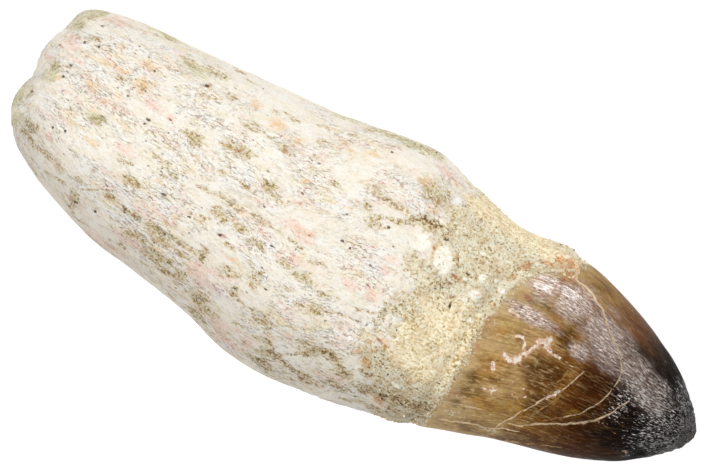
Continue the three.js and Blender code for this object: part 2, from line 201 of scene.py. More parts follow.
# White bone that stands free of the sand beside the neck.
BARE_BONE = [
    (6.6, 13.2, 3.4, 0.9, 4), (8.6, 18.4, 1.6, 0.8, -14), (4.4, -2.8, 3, 2),
    (8.6, -9.2, 1.2, 0.9), (12.6, -13.4, 1.4, 0.7), (9.2, 1.6, 0.9, 1.4), (3.2, -10.6, 3.4, 1.4),
    (5, 0.6, 2.4, 1.4), (13.2, -17.4, 2.6, 0.7, 6),
]
RUST_STAINS = [
    (-55.2, 3.6, 1.2, 0.6), (-49.9, 5.3, 2.2, 1.1, 8), (-50.3, 9.2, 1, 0.7),
    (-46.8, 9.6, 2.6, 0.5, -4), (-48.9, 12.8, 1.2, 0.6, -10), (-43, 8.8, 1.6, 1.6),
    (-43.6, 12.4, 1.6, 0.9), (-41, 10.5, 0.9, 0.5), (-46.9, 3.6, 0.8, 0.6),
    (-48, 2, 0.8, 0.6, -30), (-45.8, -2.6, 2.1, 0.7, -8), (-26, 14.6, 1.5, 1.4),
    (-21.5, 13.5, 2, 1.2), (-17.4, 12.6, 1.4, 0.9), (-10.3, 15.6, 1.8, 0.7, 4),
    (-6, 16.6, 2, 0.7), (-31.4, -1.2, 0.9, 0.5), (3.4, 16.8, 1.6, 1), (6.4, 13.6, 1.6, 0.8),
    (-26.2, 6.9, 1.4, 0.7), (-18.6, 10.8, 1.2, 0.6), (-13, 8, 1.4, 0.4), (-9.6, 0.8, 2.6, 0.9),
    (-17.4, -8.6, 1.6, 0.6), (-38.8, -9.2, 0.8, 0.4), (4.4, -2.8, 1.4, 1), (9.8, 8.4, 0.5, 1.6),
    (29.8, 15.4, 2.6, 2.2, -20), (28.2, 16, 1.6, 1.2, -10), (13.8, 8.4, 0.3, 1.5, 24),
    (26.6, 14.6, 1.8, 0.7), (23.6, 12.8, 1, 1.4), (9.8, -8.2, 0.9, 1.6, 20),
    (7.6, -9.8, 0.9, 0.8), (8.8, -12.8, 1.3, 1.1), (7, -11.6, 0.8, 0.6), (22.6, 10.4, 0.7, 0.7),
    (21.9, 5.2, 0.5, 0.9), (22.6, 2.2, 1.2, 1.3), (22.4, -2.4, 1.1, 1.8), (14.8, 5.6, 1.2, 0.9),
    (13.4, -17, 1.6, 0.7),
]
ROSE_STAINS = [
    (-54.3, 7.7, 1.7, 0.6), (-52.2, -5.2, 1.6, 0.6), (-53.4, 2.3, 1, 0.4, -10),
    (-58, 6, 1.2, 0.9), (-56, 9.5, 1.4, 1.6), (-51.2, 16, 2.6, 0.8, 10), (-41, -1.4, 2.2, 0.8),
    (-36.8, 6.5, 1.2, 0.5), (-27.8, -5.6, 2, 0.5, 8), (-31, -7.5, 5, 0.7),
    (-20, -13.6, 5.6, 0.8, 2), (-27.8, -15.5, 1.1, 0.4), (-23.6, -15, 0.8, 0.4),
    (-33, -13.6, 4, 0.8, -2), (-11, 0.7, 3.4, 1.3), (-8.8, -0.5, 2, 0.7), (4.4, -2.8, 2, 1.4),
    (0.8, -3.2, 1.8, 1.2), (-12.6, 4.4, 1.2, 0.5), (-9, -3.8, 2, 0.9), (5.4, 19.6, 3, 0.6, -8),
    (-43.6, -12.4, 2, 0.6, -8), (-18, -11.4, 3, 0.7), (4.6, 1.6, 1.2, 0.6, 30),
    (4.4, 3.4, 1.6, 0.7), (-17.4, 1.8, 1.8, 0.6), (-15, -2.4, 1.6, 0.4), (-14, -18, 3.4, 0.7, -4),
    (-40, 6.8, 3, 0.5), (-44.6, 4, 3, 0.6), (-13.6, -18.9, 1.6, 1.2), (-9, -18.8, 1.5, 1),
    (-11.4, -20.2, 3.6, 0.7), (-21.4, -12.2, 2.2, 1.4), (5.6, -17.2, 2.4, 0.9),
    (-37, -15.6, 4, 0.7, -6),
]
RED_SPOTS = [
    (-33.9, 13.9, 0.7, 0.4), (-20.5, -6, 0.9, 0.5), (-3.5, 2.4, 0.5, 0.3), (-13, -3.6, 0.6, 0.3),
    (-39, -9.2, 0.8, 0.4), (14.4, 5.8, 0.9, 0.6), (15.4, 2.8, 0.6, 0.6), (14, 4.3, 0.7, 0.5),
    (-8.7, -1.7, 0.4, 0.3, -40), (-54.5, 6.4, 0.5, 0.3), (-24.8, 6.9, 0.6, 0.4),
    (-18.6, 10.9, 0.6, 0.4), (23, -10.4, 2, 0.9), (22.2, 5.4, 0.5, 0.6), (22.6, 2.4, 1.1, 0.9),
    (22.4, -2.2, 1.1, 0.8), (30, 15.2, 1, 0.8), (8.9, -8.6, 0.7, 0.5), (28.4, 14.6, 0.8, 0.5),
    (22.2, -4.4, 0.8, 0.5), (26.2, 8.6, 1.2, 0.7), (-57, 8.4, 0.6, 0.4), (-16.2, -1.4, 0.6, 0.4),
    (3.4, -3, 0.6, 0.3, 20),
]
# Small open pits; only the middle third of each oval is open.
PITS = [
    (-53, 14.2, 0.6, 0.4), (-51.9, 11, 0.5, 0.6), (-54.2, 10.6, 0.6, 0.5), (-54.4, 6.3, 0.8, 0.5),
    (-54.6, 4.2, 0.6, 0.5), (-53.9, 2.2, 0.8, 0.4), (-44.1, 6.3, 0.8, 0.5),
    (-42.9, 6.1, 0.4, 0.3), (-44.2, 13.4, 0.4, 0.5), (-45, 10.4, 0.5, 0.4),
    (-42.3, 11.8, 0.6, 0.4, -20), (-48.4, 12.4, 0.6, 0.3), (-46.8, 11.8, 0.5, 0.3),
    (-39.5, 4.7, 1.2, 0.5), (-39.7, 3.8, 0.6, 0.5), (-38.3, 2.1, 0.4, 0.3),
    (-50.2, -3.2, 0.7, 0.5, -30), (-52.2, -3.7, 0.6, 0.4), (-54, -3.3, 0.6, 0.3),
    (-43.4, -12.4, 0.9, 0.4), (-40, -12.2, 0.6, 0.4), (-43.2, -14.1, 0.5, 0.3),
    (-31.8, -4.6, 1.1, 0.5), (-20.8, -2.4, 0.7, 0.4, -10), (-34, 13.8, 0.9, 0.5),
    (-35.9, 2.8, 0.6, 0.5, -30), (-35.8, 4.4, 0.4, 0.4), (-13, -3.6, 0.9, 0.4),
    (-9.4, -2.3, 0.6, 0.5, -30), (-9, -3.1, 0.5, 0.4), (-10.6, -10.1, 0.9, 0.4),
    (-15, -12.4, 0.8, 0.4), (-33.9, -14.8, 0.8, 0.4), (-3.4, 18.5, 0.7, 0.4), (-21, -6, 0.8, 0.6),
    (-14.8, 7, 0.7, 0.4), (-3.6, 2.4, 0.8, 0.5), (-2, 2, 0.5, 0.4), (-5, 6.4, 0.6, 0.4),
    (16.1, 1.5, 0.5, 0.8), (6.2, 11.8, 0.7, 0.5, 20), (10.8, 10.6, 1, 0.4, 40),
    (1.8, 7.8, 0.8, 0.5), (-36.6, 6.3, 0.9, 0.4), (-26.6, -5.8, 0.7, 0.4),
]
# The greenish film of fine silt on the rim of the root's end and along its upper edge.
SILT = [
    (-59.3, -2.4, 1.2, 4), (-57.8, -5.4, 2, 1.6, 35), (-56.4, 13, 1.2, 2.6),
    (-54.8, 15.4, 2.2, 0.9, 30), (-2, 21, 8, 0.7, 6), (-12, 19.6, 5, 0.5, 5),
    (-44, 17.8, 5, 0.5, 4), (-37, 15, 3.4, 1.4), (-56.4, 4, 1.4, 2.2), (-47, 1, 2.2, 1.4),
]

# Cracks of the crown: pale ones, faint ones and ones with a rusty line beside them.
CROWN_CRACKS = [
    (0.13, 30.5, 15, 32, 14.6, 34, 14.2, 36, 13.2, 37.2, 12.6, 38.3, 11.8, 39.6, 10.6, 40.6,
     9.6, 42, 8.5, 43.2, 7.6, 44.2, 6.2, 44.8, 5.4), (0.1, 44.8, 5.4, 45, 4, 45, 2.4, 44.6, 1),
    (0.08, 44.6, 1, 44, -0.6, 43, -2.2, 42.2, -3.6, 41.2, -4.6, 40, -5.4),
    (0.11, 48, 1.9, 47.2, 0.4, 46.6, -1.2, 45.6, -2.6),
    (0.15, 45.6, -2.6, 44.6, -3.6, 43, -4.8, 42, -5.6),
    (0.13, 42, -5.6, 40, -6.6, 38, -7.8, 36.2, -8.8),
    (0.1, 39.5, 2.4, 39, 1, 38.4, -0.8, 37.8, -2, 37, -3.2, 36.4, -4, 35.6, -5, 34.8, -6.4, 34,
     -7.6, 33.4, -9, 32.4, -10.4, 31.6, -11.8), (0.08, 32.6, 2.7, 35, 2.5, 38, 2.4, 39.6, 2.4),
    (0.09, 23, -15, 25, -14.4, 27, -13.6, 29, -13, 31, -12.4, 33, -11.4, 35, -10.8),
    (0.08, 22, -12.4, 24.4, -11.6, 26.4, -10.9, 28.2, -10.5),
    (0.1, 36.2, -8.8, 35, -9.8, 33, -10.5),
]
FAINT_CRACKS = [
    (0.09, 40, -5.4, 37.5, -7.5), (0.1, 37.6, 2.2, 37, 0, 36.6, -1.6),
    (0.11, 38.2, -2.6, 37.2, -4.6, 36.2, -6.6, 35.6, -7.6), (0.08, 39.6, 2.4, 44, 2.4),
    (0.12, 36.5, 8, 36.9, 6, 36.6, 4), (0.08, 47, -1.9, 50, -2.2), (0.08, 45.8, -3.4, 48.6, -3.7),
    (0.08, 36.4, 8.6, 36.6, 10, 35.6, 11.6), (0.08, 23, 5.6, 27, 4.9, 29.6, 4.6),
    (0.07, 48.6, 6.2, 52, 5.2), (0.07, 33.6, -13, 38, -11.4, 42, -9.8),
]
RED_CRACKS = [
    (0.14, 30.4, 14.4, 29.4, 12.6, 29.2, 10.6), (0.1, 29.2, 12.6, 27, 12, 25.2, 11.4),
    (0.12, 31, 14.2, 33, 13.6, 35, 12.8, 36.5, 11.8, 37.2, 10.9),
    (0.14, 32.8, 4, 32.6, 5.6, 33, 7.6), (0.12, 26.3, 9.9, 26.6, 8.6),
]
# Where the enamel is chipped off and pale dentine shows.
CROWN_CHIPS = [
    (0.34, 31, 2.6, 30.6, 1.4, 30.2, 0.6, 29.4, -0.6), (0.42, 29.4, -0.8, 28.6, -1.4, 27.4, -1.3),
    (0.2, 27.5, 2.4, 28.6, 2.7, 29.3, 2.1, 29.4, 1), (0.44, 31, 3, 31.8, 3.6, 32.5, 4.4),
    (0.34, 32.4, 4.2, 32.6, 3, 33.4, 2.8), (0.2, 33.2, 2.6, 35.2, 2.6),
    (0.32, 26.4, -3.1, 26.8, -3.8), (0.18, 27, -7.4, 28.2, -7.1, 29, -6.6),
    (0.16, 28.2, -6.6, 28.4, -7.5), (0.22, 37.6, -2.2, 37, -3.2, 36.4, -3.9),
    (0.1, 43.6, -4.5, 42.6, -5.2), (0.1, 33.9, -4.6, 34, -4.5), (0.1, 32.4, -4.6, 32.6, -4.4),
    (0.1, 30.4, -4, 30.5, -4.4), (0.12, 51, -5.5, 51.4, -5.4), (0.1, 33, -5.6, 33.4, -5.4),
    (0.16, 24.4, 5.4, 26.4, 5.2), (0.12, 36.9, 12.9, 37.3, 12.5), (0.1, 31.2, -6, 31.5, -6.1),
]
# The crown's silvery, finely creased places, partly weathered enamel and partly painted sheen; its
# tip's painted glints; the sandy haze by the neck.
SILVER_AND_SHEEN_ENAMEL = [
    (27.4, 11.8, 2.6, 2.8), (33.2, 11.4, 3.2, 2.8, -10), (40.6, 8.4, 5.2, 3.2, -30),
    (46.8, 6.2, 3.4, 2.4, -20), (27.4, 6.2, 4.4, 1.2), (25.6, 13.8, 2.4, 1), (37.6, 5, 1.6, 1.2),
    (50.6, 4.4, 3.6, 2.4, -34),
]
# Where the tip's pale specks are painted glints.
GLINT_ENAMEL = [
    (54.4, 1.4, 6, 6, -10), (49, 2.6, 4, 3, -20),
]
HAZY_ENAMEL = [
    (24.6, -13.2, 5, 1.8, 12), (23.6, -10.6, 2.2, 1), (24.4, 13.4, 2.6, 2.6),
    (23.4, 2.4, 1.8, 2.6), (30.6, -12.8, 4, 1, 14),
]
# Where the crown is a lighter gold, and where it is darker than round about.
GOLD_ENAMEL = [
    (26.6, -4.4, 3.6, 3.2), (24.4, 2, 2.6, 2.6), (33, -7.6, 2.6, 1.4, 10),
    (37.6, -0.6, 1, 3, -14), (30.6, 6.6, 2.2, 1.6), (36.8, 5.8, 0.7, 3), (41.4, -4.2, 1.6, 1, 30),
    (28, -9.6, 3.4, 1.2, 8),
]
UMBER_ENAMEL = [
    (33.4, -1.4, 3.2, 2.6), (35.4, -5.4, 2.4, 1.8, 30), (23.8, -7.6, 2, 2.4),
    (43.6, -3.8, 3.2, 1.8, 34), (34.8, 5.8, 1.5, 2.6), (47, -7.4, 5, 0.9, 14),
    (24.4, -11.4, 2, 0.9, 10), (41.6, 2, 2, 3.2), (28.4, 8.4, 3, 0.7), (35.6, -12, 6, 2, 16),
    (43, -9.8, 5, 1.6, 18), (28.6, -13.4, 4.4, 1.3, 14), (34.2, -0.8, 3.8, 2.6),
]
# The underside has its own, plainer cracks.
BELLY_CRACKS = [
    (0.14, 24, 9, 31, 7.4, 38, 4, 43, 3, 47, 3.6), (0.1, 38, 4, 40.5, -1, 44.5, -3.6),
    (0.12, 26, -9, 33, -7.8, 37, -5.2, 40.5, -1), (0.09, 31, 7.4, 33, 2.2, 31.6, -3, 33, -7.8),
]

# Bone chips set in the sand: after the turn comes the height.
SAND_CHIPS = [
    (7.7, 8.3, 1.4, 1.5, 30, 0.3), (11.9, 7.1, 1.6, 2.9, 26, 0.35), (18.6, 7.8, 0.7, 0.7, 0, 0.3),
    (18.7, 4.9, 1.2, 0.7, 0, 0.3), (17.6, 3.5, 0.6, 0.5, 0, 0.15), (22.2, 7.5, 0.7, 0.6, 0, 0.15),
    (16.3, 6.2, 0.5, 0.4, 0, 0.1), (20.6, 8.4, 0.4, 0.4, 0, 0.1), (28.7, 16.9, 0.6, 0.4, 30, 0.1),
    (31.3, 15.6, 0.3, 0.6, 0, 0.1), (20.2, 1, 0.5, 0.4, 0, 0.1), (16.8, 11.2, 0.5, 0.3, 0, 0.1),
    (14.6, -13.6, 0.9, 0.4, 0, 0.1),
]
SAND_CRACKS = [
    (0.1, 12.8, 4.4, 13.4, 3.4, 13.7, 2.8), (0.12, 16, 2.2, 16.2, 0.9), (0.1, 10.3, 10.3, 11, 11),
    (0.08, 13.2, 10, 14.4, 7.4), (0.1, 5.4, 11.5, 6.6, 12), (0.08, 14.6, 5, 15, 3.4),
]
# Where the sand is fine and even, and where it is full of dark grains.
SMOOTH_SAND = [
    (16.4, -4.8, 7.6, 8.4), (19, 17.4, 11, 2.6, -6),
]
PEPPERED_SAND = [
    (8, 11.6, 5, 1.8, 10), (12.6, 12.4, 3.6, 2.6), (11.4, 3.8, 1.6, 1.6), (18.6, 11.4, 4.6, 2.6),
    (9.4, -11.4, 2.4, 3.4), (16, -15, 6, 1.6, 6), (8.6, -4.6, 1.4, 3.4), (16.4, 8.6, 3.4, 2),
    (21, -1.6, 1.6, 7), (15, -16.6, 8, 2, 8),
]
# Where the sand round the neck begins to hide the bone: y, and x there.
SAND_FOOT = [
    (-20, 14), (-17, 13), (-15, 10), (-13, 7.6), (-10.6, 7.8), (-9, 9.8), (-7, 10.4), (-5.4, 8.6),
    (-3, 7.8), (-0.6, 8.2), (1.6, 9.4), (3.2, 7), (5.4, 6.6), (6.4, 9), (8, 10.2), (9.8, 9.4),
    (10.8, 5), (12.2, 5.4), (12.8, 10.2), (14.2, 9.4), (15, 7.4), (17, 8.8), (19, 10.6), (22, 11),
]


# ---- Meshes ---------------------------------------------------------------------------------

def corners(mesh, kind="co"):
    """The place of each corner of a mesh, or its normal."""
    flat = np.empty(len(mesh.vertices) * 3)
    mesh.vertices.foreach_get(kind, flat)
    return flat.reshape(-1, 3)


def set_corners(mesh, points):
    """Moves the corners, but none under the surface that the tooth lies on."""
    points[:, 2] = np.maximum(points[:, 2], 0)
    mesh.vertices.foreach_set("co", points.ravel())
    mesh.update()


def keep(mesh, fields):
    """Stores each field on the mesh: a number, or three, for each of its corners."""
    for name, values in fields.items():
        kind, key = ("FLOAT", "value") if values.ndim == 1 else ("FLOAT_VECTOR", "vector")
        layer = mesh.attributes.new(name, kind, "POINT")
        layer.data.foreach_set(key, values.astype(np.float32).ravel())


def form_of(mesh):
    form = bmesh.new()
    form.from_mesh(mesh)
    return form


def mesh_of(form, name):
    mesh = bpy.data.meshes.new(name)
    form.to_mesh(mesh)
    form.free()
    return mesh


def placed(name, data):
    """A new object in the scene."""
    made = bpy.data.objects.new(name, data)
    bpy.context.scene.collection.objects.link(made)
    return made


def with_modifier(mesh, kind, **settings):
    """The mesh with one modifier applied."""
    holder = placed("holder", mesh)
    modifier = holder.modifiers.new(kind, kind)
    for name, value in settings.items():
        setattr(modifier, name, value)
    graph = bpy.context.evaluated_depsgraph_get()
    made = bpy.data.meshes.new_from_object(holder.evaluated_get(graph))
    bpy.data.objects.remove(holder)
    return made


def smooth_copy(node):
    """A CAD node's faceted solid as a closed smooth mesh, in millimetres."""
    form = form_of(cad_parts[node].data)
    bmesh.ops.remove_doubles(form, verts=form.verts, dist=WELD)
    bmesh.ops.scale(form, verts=form.verts, vec=(1 / MM,) * 3)
    flatness, shape = JOIN_ANGLES
    bmesh.ops.join_triangles(form, faces=form.faces, angle_face_threshold=flatness,
                             angle_shape_threshold=shape)
    return with_modifier(mesh_of(form, node), "SUBSURF", levels=SMOOTH_LEVELS,
                         render_levels=SMOOTH_LEVELS)


# ---- Places on the tooth --------------------------------------------------------------------

def smoothstep(value, low, high):
    """0 at low, 1 at high and smooth between them; high may be the lower one."""
    share = np.clip((value - low) / (high - low), 0, 1)
    return share * share * (3 - 2 * share)


class Skin:
    """The tooth's whole outside: its middle line, its half sizes and its surface."""

    def __init__(self, tooth, collar):
        meshes = (tooth, collar)
        points = np.concatenate([corners(mesh) for mesh in meshes])
        self.stations = np.arange(STATION_ENDS[0], STATION_ENDS[1] + 1, STATION_STEP)
        rows = []
        for x in self.stations:
            near = points[np.abs(points[:, 0] - x) < STATION_STEP / 2]
            low, high = near.min(0), near.max(0)
            rows.append([*(low + high)[1:] / 2, *(high - low)[1:] / 2])
        self.sections = np.array(rows)
        self.trees = []  # of the bare tooth, and of the tooth with the solid collar
        places = []
        faces = []
        for mesh in meshes:
            start = len(places)
            places += [v.co.copy() for v in mesh.vertices]
            faces += [[start + i for i in f.vertices] for f in mesh.polygons]
            self.trees.append(BVHTree.FromPolygons(places, faces))
        self.read_edges(corners(collar))

    def read_edges(self, points):
        """Where the solid collar starts and ends along X, at each direction round the tooth."""
        angle = self.angle_of(points)
        self.turns = np.linspace(-math.pi, math.pi, EDGE_TURNS, endpoint=False)
        gap = np.abs((angle[:, None] - self.turns + math.pi) % math.tau - math.pi)
        near = gap < math.pi / EDGE_TURNS * 1.5
        self.edges = [np.where(near, points[:, :1], FAR_OUT).min(0),
                      np.where(near, points[:, :1], -FAR_OUT).max(0)]

    def edges_at(self, angle):
        return [np.interp(angle, self.turns, edge, period=math.tau) for edge in self.edges]

    def collar_edges(self, points):
        return self.edges_at(self.angle_of(points))

    def angle_of(self, points):
        y, z, _, _ = self.sizes_at(points[:, 0])
        return np.arctan2(points[:, 2] - z, points[:, 1] - y)

    def sizes_at(self, x):
        """Middle y, middle z, half width and half height of the section at each x."""
        return [np.interp(x, self.stations, column) for column in self.sections.T]

    def on_rod(self, points):
        """Each point as if the tooth were a straight rod, with its grain along X."""
        y, z, wide, high = self.sizes_at(points[:, 0])
        return np.stack([points[:, 0], (points[:, 1] - y) / wide * ROD_HALF[0],
                         (points[:, 2] - z) / high * ROD_HALF[1]], axis=1)

    def upness(self, points):
        """1 on the back of the tooth, 0 at its sides and -1 on its belly."""
        _, z, _, high = self.sizes_at(points[:, 0])
        return (points[:, 2] - z) / high

    def outward(self, points):
        """From the tooth's middle line to each point, as directions across it."""
        y, z, _, _ = self.sizes_at(points[:, 0])
        across = np.stack([np.zeros(len(points)), points[:, 1] - y, points[:, 2] - z], axis=1)
        return across / np.linalg.norm(across, axis=1)[:, None]

    def reach(self, tree, x, angles):
        """How far a surface lies from the middle line, at rows of places along X, for the
        direction across it that each column has.
        """
        y, z, _, _ = self.sizes_at(x)
        outward = [Vector((0, math.cos(angle), math.sin(angle))) for angle in angles]
        reach = np.empty(x.shape)
        for (row, turn), place in np.ndenumerate(x):
            start = Vector((place, y[row, turn], z[row, turn])) + outward[turn] * FAR_OUT
            reach[row, turn] = FAR_OUT - tree.ray_cast(start, -outward[turn])[3]
        return reach


# ---- Fields over a surface ------------------------------------------------------------------

def rough(points, across, stretch=1, octaves=3, place=0):
    """Fractal noise at each point, about -1 to 1. Stretch draws it out along X."""
    scaled = (points + place) / (across * stretch, across, across)
    return np.array([noise.fractal(p, 1, 2, octaves) for p in scaled.tolist()])


def pebbles(points, across):
    """Distance to the nearest of many scattered points: 0 at one and about 1 between them."""
    return np.array([noise.voronoi(p)[0][0] for p in (points / across).tolist()])


def wobbled(points, across, size, place=0):
    """The points moved about at random, so that a mark's outline gets crooked."""
    offsets = [rough(points, across, octaves=2, place=place + shift) for shift in (3, 13, 23)]
    return points + size * np.stack(offsets, axis=1)


def as_seen(points):
    """Where along X and Y the camera sees the points, on the level of the tooth's outline."""
    nearer = (CAMERA_HEIGHT - OUTLINE_HEIGHT) / (CAMERA_HEIGHT - points[:, 2:])
    return VIEW_MIDDLE + (points[:, :2] - VIEW_MIDDLE) * nearer


def patches(points, ovals):
    """1 in the middle of each oval, 0 at its edge and under 0 beyond it."""
    best = np.full(len(points), -1.0)
    flat = as_seen(points)
    for x, y, long, wide, *turn in ovals:
        angle = math.radians(turn[0]) if turn else 0
        c, s = math.cos(angle), math.sin(angle)
        dx, dy = (flat - (x, y)).T
        reach = np.hypot((dx * c + dy * s) / long, (dy * c - dx * s) / wide)
        best = np.maximum(best, 1 - reach)
    return best


def half_widths_off(points, lines):
    """How many half widths each point lies from the nearest line."""
    nearest = np.full(len(points), float(OFF_LINES))
    flat = as_seen(points)
    for half_width, *places in lines:
        line = np.reshape(places, (-1, 2))
        for start, way in zip(line, np.diff(line, axis=0)):
            share = np.clip((flat - start) @ way / (way @ way), 0, 1)
            gap = np.hypot(*(flat - start - share[:, None] * way).T)
            nearest = np.minimum(nearest, gap / half_width)
    return nearest


def facing(up, field, elsewhere):
    """The field on the back, and what it is elsewhere on the belly."""
    share = smoothstep(up, *BACK)
    return field * share + elsewhere * (1 - share)


def ovals_on(points, up, ovals, elsewhere=-1):
    """The ovals' patches, on the back alone."""
    return facing(up, patches(points, ovals), elsewhere)


def lines_on(points, up, lines, elsewhere=OFF_LINES):
    """How many half widths off the lines, on the back alone."""
    return np.minimum(facing(up, half_widths_off(points, lines), elsewhere), LINE_REACH)


# ---- Shader maths ---------------------------------------------------------------------------

def operator(operation, swapped=False):
    """A sum on a wire, as a Math node. The swapped one is its reflected form."""
    def sum_of(wire, other):
        first, second = (other, wire) if swapped else (wire, other)
        return wire.look.node("ShaderNodeMath", {0: first, 1: second}, operation=operation)
    return sum_of


class Wire:
    """A socket in a look. Sums on wires add Math nodes to it."""

    def __init__(self, look, socket):
        self.look = look
        self.socket = socket

    __add__ = operator("ADD")
    __radd__ = operator("ADD", swapped=True)
    __sub__ = operator("SUBTRACT")
    __rsub__ = operator("SUBTRACT", swapped=True)
    __mul__ = operator("MULTIPLY")
    __rmul__ = operator("MULTIPLY", swapped=True)
    max = operator("MAXIMUM")

    def step(self, low, high):
        """0 under low, 1 over high and smooth between them; high may be the lower one."""
        inputs = {"Value": self, "From Min": low, "From Max": high}
        return self.look.node("ShaderNodeMapRange", inputs, interpolation_type="SMOOTHSTEP")


def tint(colour):
    """A colour given by the 0-255 numbers of a screen, as the shader's. A wire stays as it is."""
    if isinstance(colour, Wire):
        return colour
    parts = [v / 255 for v in colour]
    return (*[v / 12.92 if v < 0.04 else ((v + 0.055) / 1.055) ** 2.4 for v in parts], 1)


class Look:
    """A material and the nodes that make it."""

    def __init__(self, name):
        self.material = bpy.data.materials.new(name)
        self.material.use_nodes = True
        self.tree = self.material.node_tree
        self.tree.nodes.clear()
        self.place = self.node("ShaderNodeVectorMath", {
            "Vector": self.node("ShaderNodeTexCoord", output="Object"), "Scale": 1 / MM,
        }, operation="SCALE")

    def node(self, kind, inputs=None, output=0, stops=None, **settings):
        made = self.tree.nodes.new(kind)
        for name, value in settings.items():
            setattr(made, name, value)
        if stops:
            ramp = made.color_ramp
            while len(ramp.elements) < len(stops):
                ramp.elements.new(0)
            for element, (place, colour) in zip(ramp.elements, stops):
                element.position, element.color = place, tint(colour)
        for name, value in (inputs or {}).items():
            if isinstance(value, Wire):
                self.tree.links.new(value.socket, made.inputs[name])
            else:
                made.inputs[name].default_value = value
        return Wire(self, made.outputs[output])

    def field(self, name, output="Fac"):
        return self.node("ShaderNodeAttribute", output=output, attribute_name=name)

    def mark(self, name, fray, low, high):
        """A field with a frayed edge: 0 at low and 1 at high."""
        return (self.field(name) + fray).step(low, high)

    def spread(self, vector, across, stretch, place):
        scale = (1 / (across * stretch), 1 / across, 1 / across)
        return self.node("ShaderNodeMapping", {
            "Vector": vector, "Location": (place,) * 3, "Scale": scale})

    def noise(self, vector, across, stretch=1, detail=3, roughness=0.55, place=0, bend=0):
        """Cloudy noise from 0 to 1, with features about that many millimetres across."""
        return self.node("ShaderNodeTexNoise", {
            "Vector": self.spread(vector, across, stretch, place), "Scale": 1,
            "Detail": detail, "Roughness": roughness, "Distortion": bend})

    def ragged(self, vector, across, stretch=1, place=0):
        """Noise from about -0.3 to 0.3 that frays the edge of a mark."""
        return self.noise(vector, across, stretch, detail=5, roughness=0.7, place=place) - 0.5

    def flecks(self, way, across, stretch, place, least):
        """Small crumbs and dashes that lie along the tooth: 1 on one and 0 between them."""
        crumb = self.noise(way, across, stretch, roughness=0.7, place=place, bend=0.4)
        return crumb.step(least, least + 0.06)

    def cells(self, vector, across, stretch=1, output="Distance", place=0, **settings):
        return self.node("ShaderNodeTexVoronoi", {
            "Vector": self.spread(vector, across, stretch, place), "Scale": 1,
        }, output=output, **settings)

    def cell_numbers(self, vector, across, stretch=1, place=0):
        """A random number from 0 to 1 for each cell."""
        own = self.cells(vector, across, stretch, "Color", place)
        return self.node("ShaderNodeSeparateColor", {"Color": own}, output="Red")

    def bent(self, vector, size):
        """The places moved about a little, so that cells get crooked edges."""
        shift = self.node("ShaderNodeTexNoise", {"Vector": vector, "Scale": 1.6, "Detail": 2},
                          output="Color")
        return self.node("ShaderNodeVectorMath", {0: shift, 1: (size,) * 3, 2: vector},
                         operation="MULTIPLY_ADD")

    def mix(self, share, first, second, blend="MIX"):
        """Colours mixed by a share: all first at 0 and all second at 1."""
        return self.node("ShaderNodeMix", {0: share, 6: tint(first), 7: tint(second)}, output=2,
                         data_type="RGBA", blend_type=blend, clamp_factor=True)

    def layered(self, colour, *layers):
        """The colour with others laid over it in turn, each by its own share."""
        for share, over in layers:
            colour = self.mix(share, colour, over)
        return colour

    def ramp(self, value, *stops):
        return self.node("ShaderNodeValToRGB", {"Fac": value}, output="Color", stops=stops)

    def bump(self, height, distance, normal=None):
        inputs = {"Height": height, "Distance": distance * MM, "Strength": 1}
        if normal:
            inputs["Normal"] = normal
        return self.node("ShaderNodeBump", inputs, output="Normal")

    def surface(self, **inputs):
        named = {name.replace("_", " "): value for name, value in inputs.items()}
        shader = self.node("ShaderNodeBsdfPrincipled", named, output="BSDF")
        end = self.tree.nodes.new("ShaderNodeOutputMaterial")
        self.tree.links.new(shader.socket, end.inputs["Surface"])
        return self.material


# ---- Finishes -------------------------------------------------------------------------------

def sand_tone(look, way):
    """How dark each crumb of the sand is, about 0.3 to 0.7."""
    own = look.cell_numbers(look.place, 0.27, place=2)
    clump = look.noise(way, 0.5, 1.4, detail=5, roughness=0.72, place=5)
    return clump + 0.26 * own - 0.13


def hollow_colour(look, tone, pepper):
    """The olive-brown sand that is packed into the hollows of the bone."""
    olive = look.ramp(
        tone + 0.26 * pepper, (0.38, (252, 242, 212)), (0.49, (232, 214, 160)),
        (0.6, (200, 176, 112)), (0.7, (154, 128, 72)), (0.84, (98, 76, 40)))
    reddish = look.noise(look.place, 2.4, place=67).step(0.5, 0.64)
    return look.mix(0.4 * reddish, olive, (204, 146, 104))


def sand_colour(look, tone, pepper):
    """Cemented sand. Pepper darkens it: 0 is the clean sand and 1 is nearly all dark."""
    sand = look.ramp(
        tone + 0.26 * pepper, (0.36, (255, 252, 232)), (0.5, (254, 242, 208)),
        (0.6, (238, 222, 184)), (0.69, (210, 184, 130)), (0.78, (150, 122, 72)),
        (0.88, (88, 66, 38)))
    browner = look.noise(look.place, 2.2, detail=4, roughness=0.6, place=69).step(0.48, 0.62)
    return look.mix(0.35 * browner, sand, (216, 178, 126))


BONE_TINTS = [  # place in the noise, size, stretch, least noise that shows, share, colour
    (21, 2.6, 2, 0.5, 0.6, (236, 214, 166)), (37, 2.6, 1.8, 0.48, 0.8, (238, 238, 234)),
    (33, 2.2, 2.4, 0.51, 0.6, (240, 212, 196)), (31, 1, 2.6, 0.55, 0.7, (200, 190, 148)),
    (35, 1.3, 2, 0.54, 0.8, (252, 249, 243)),
]


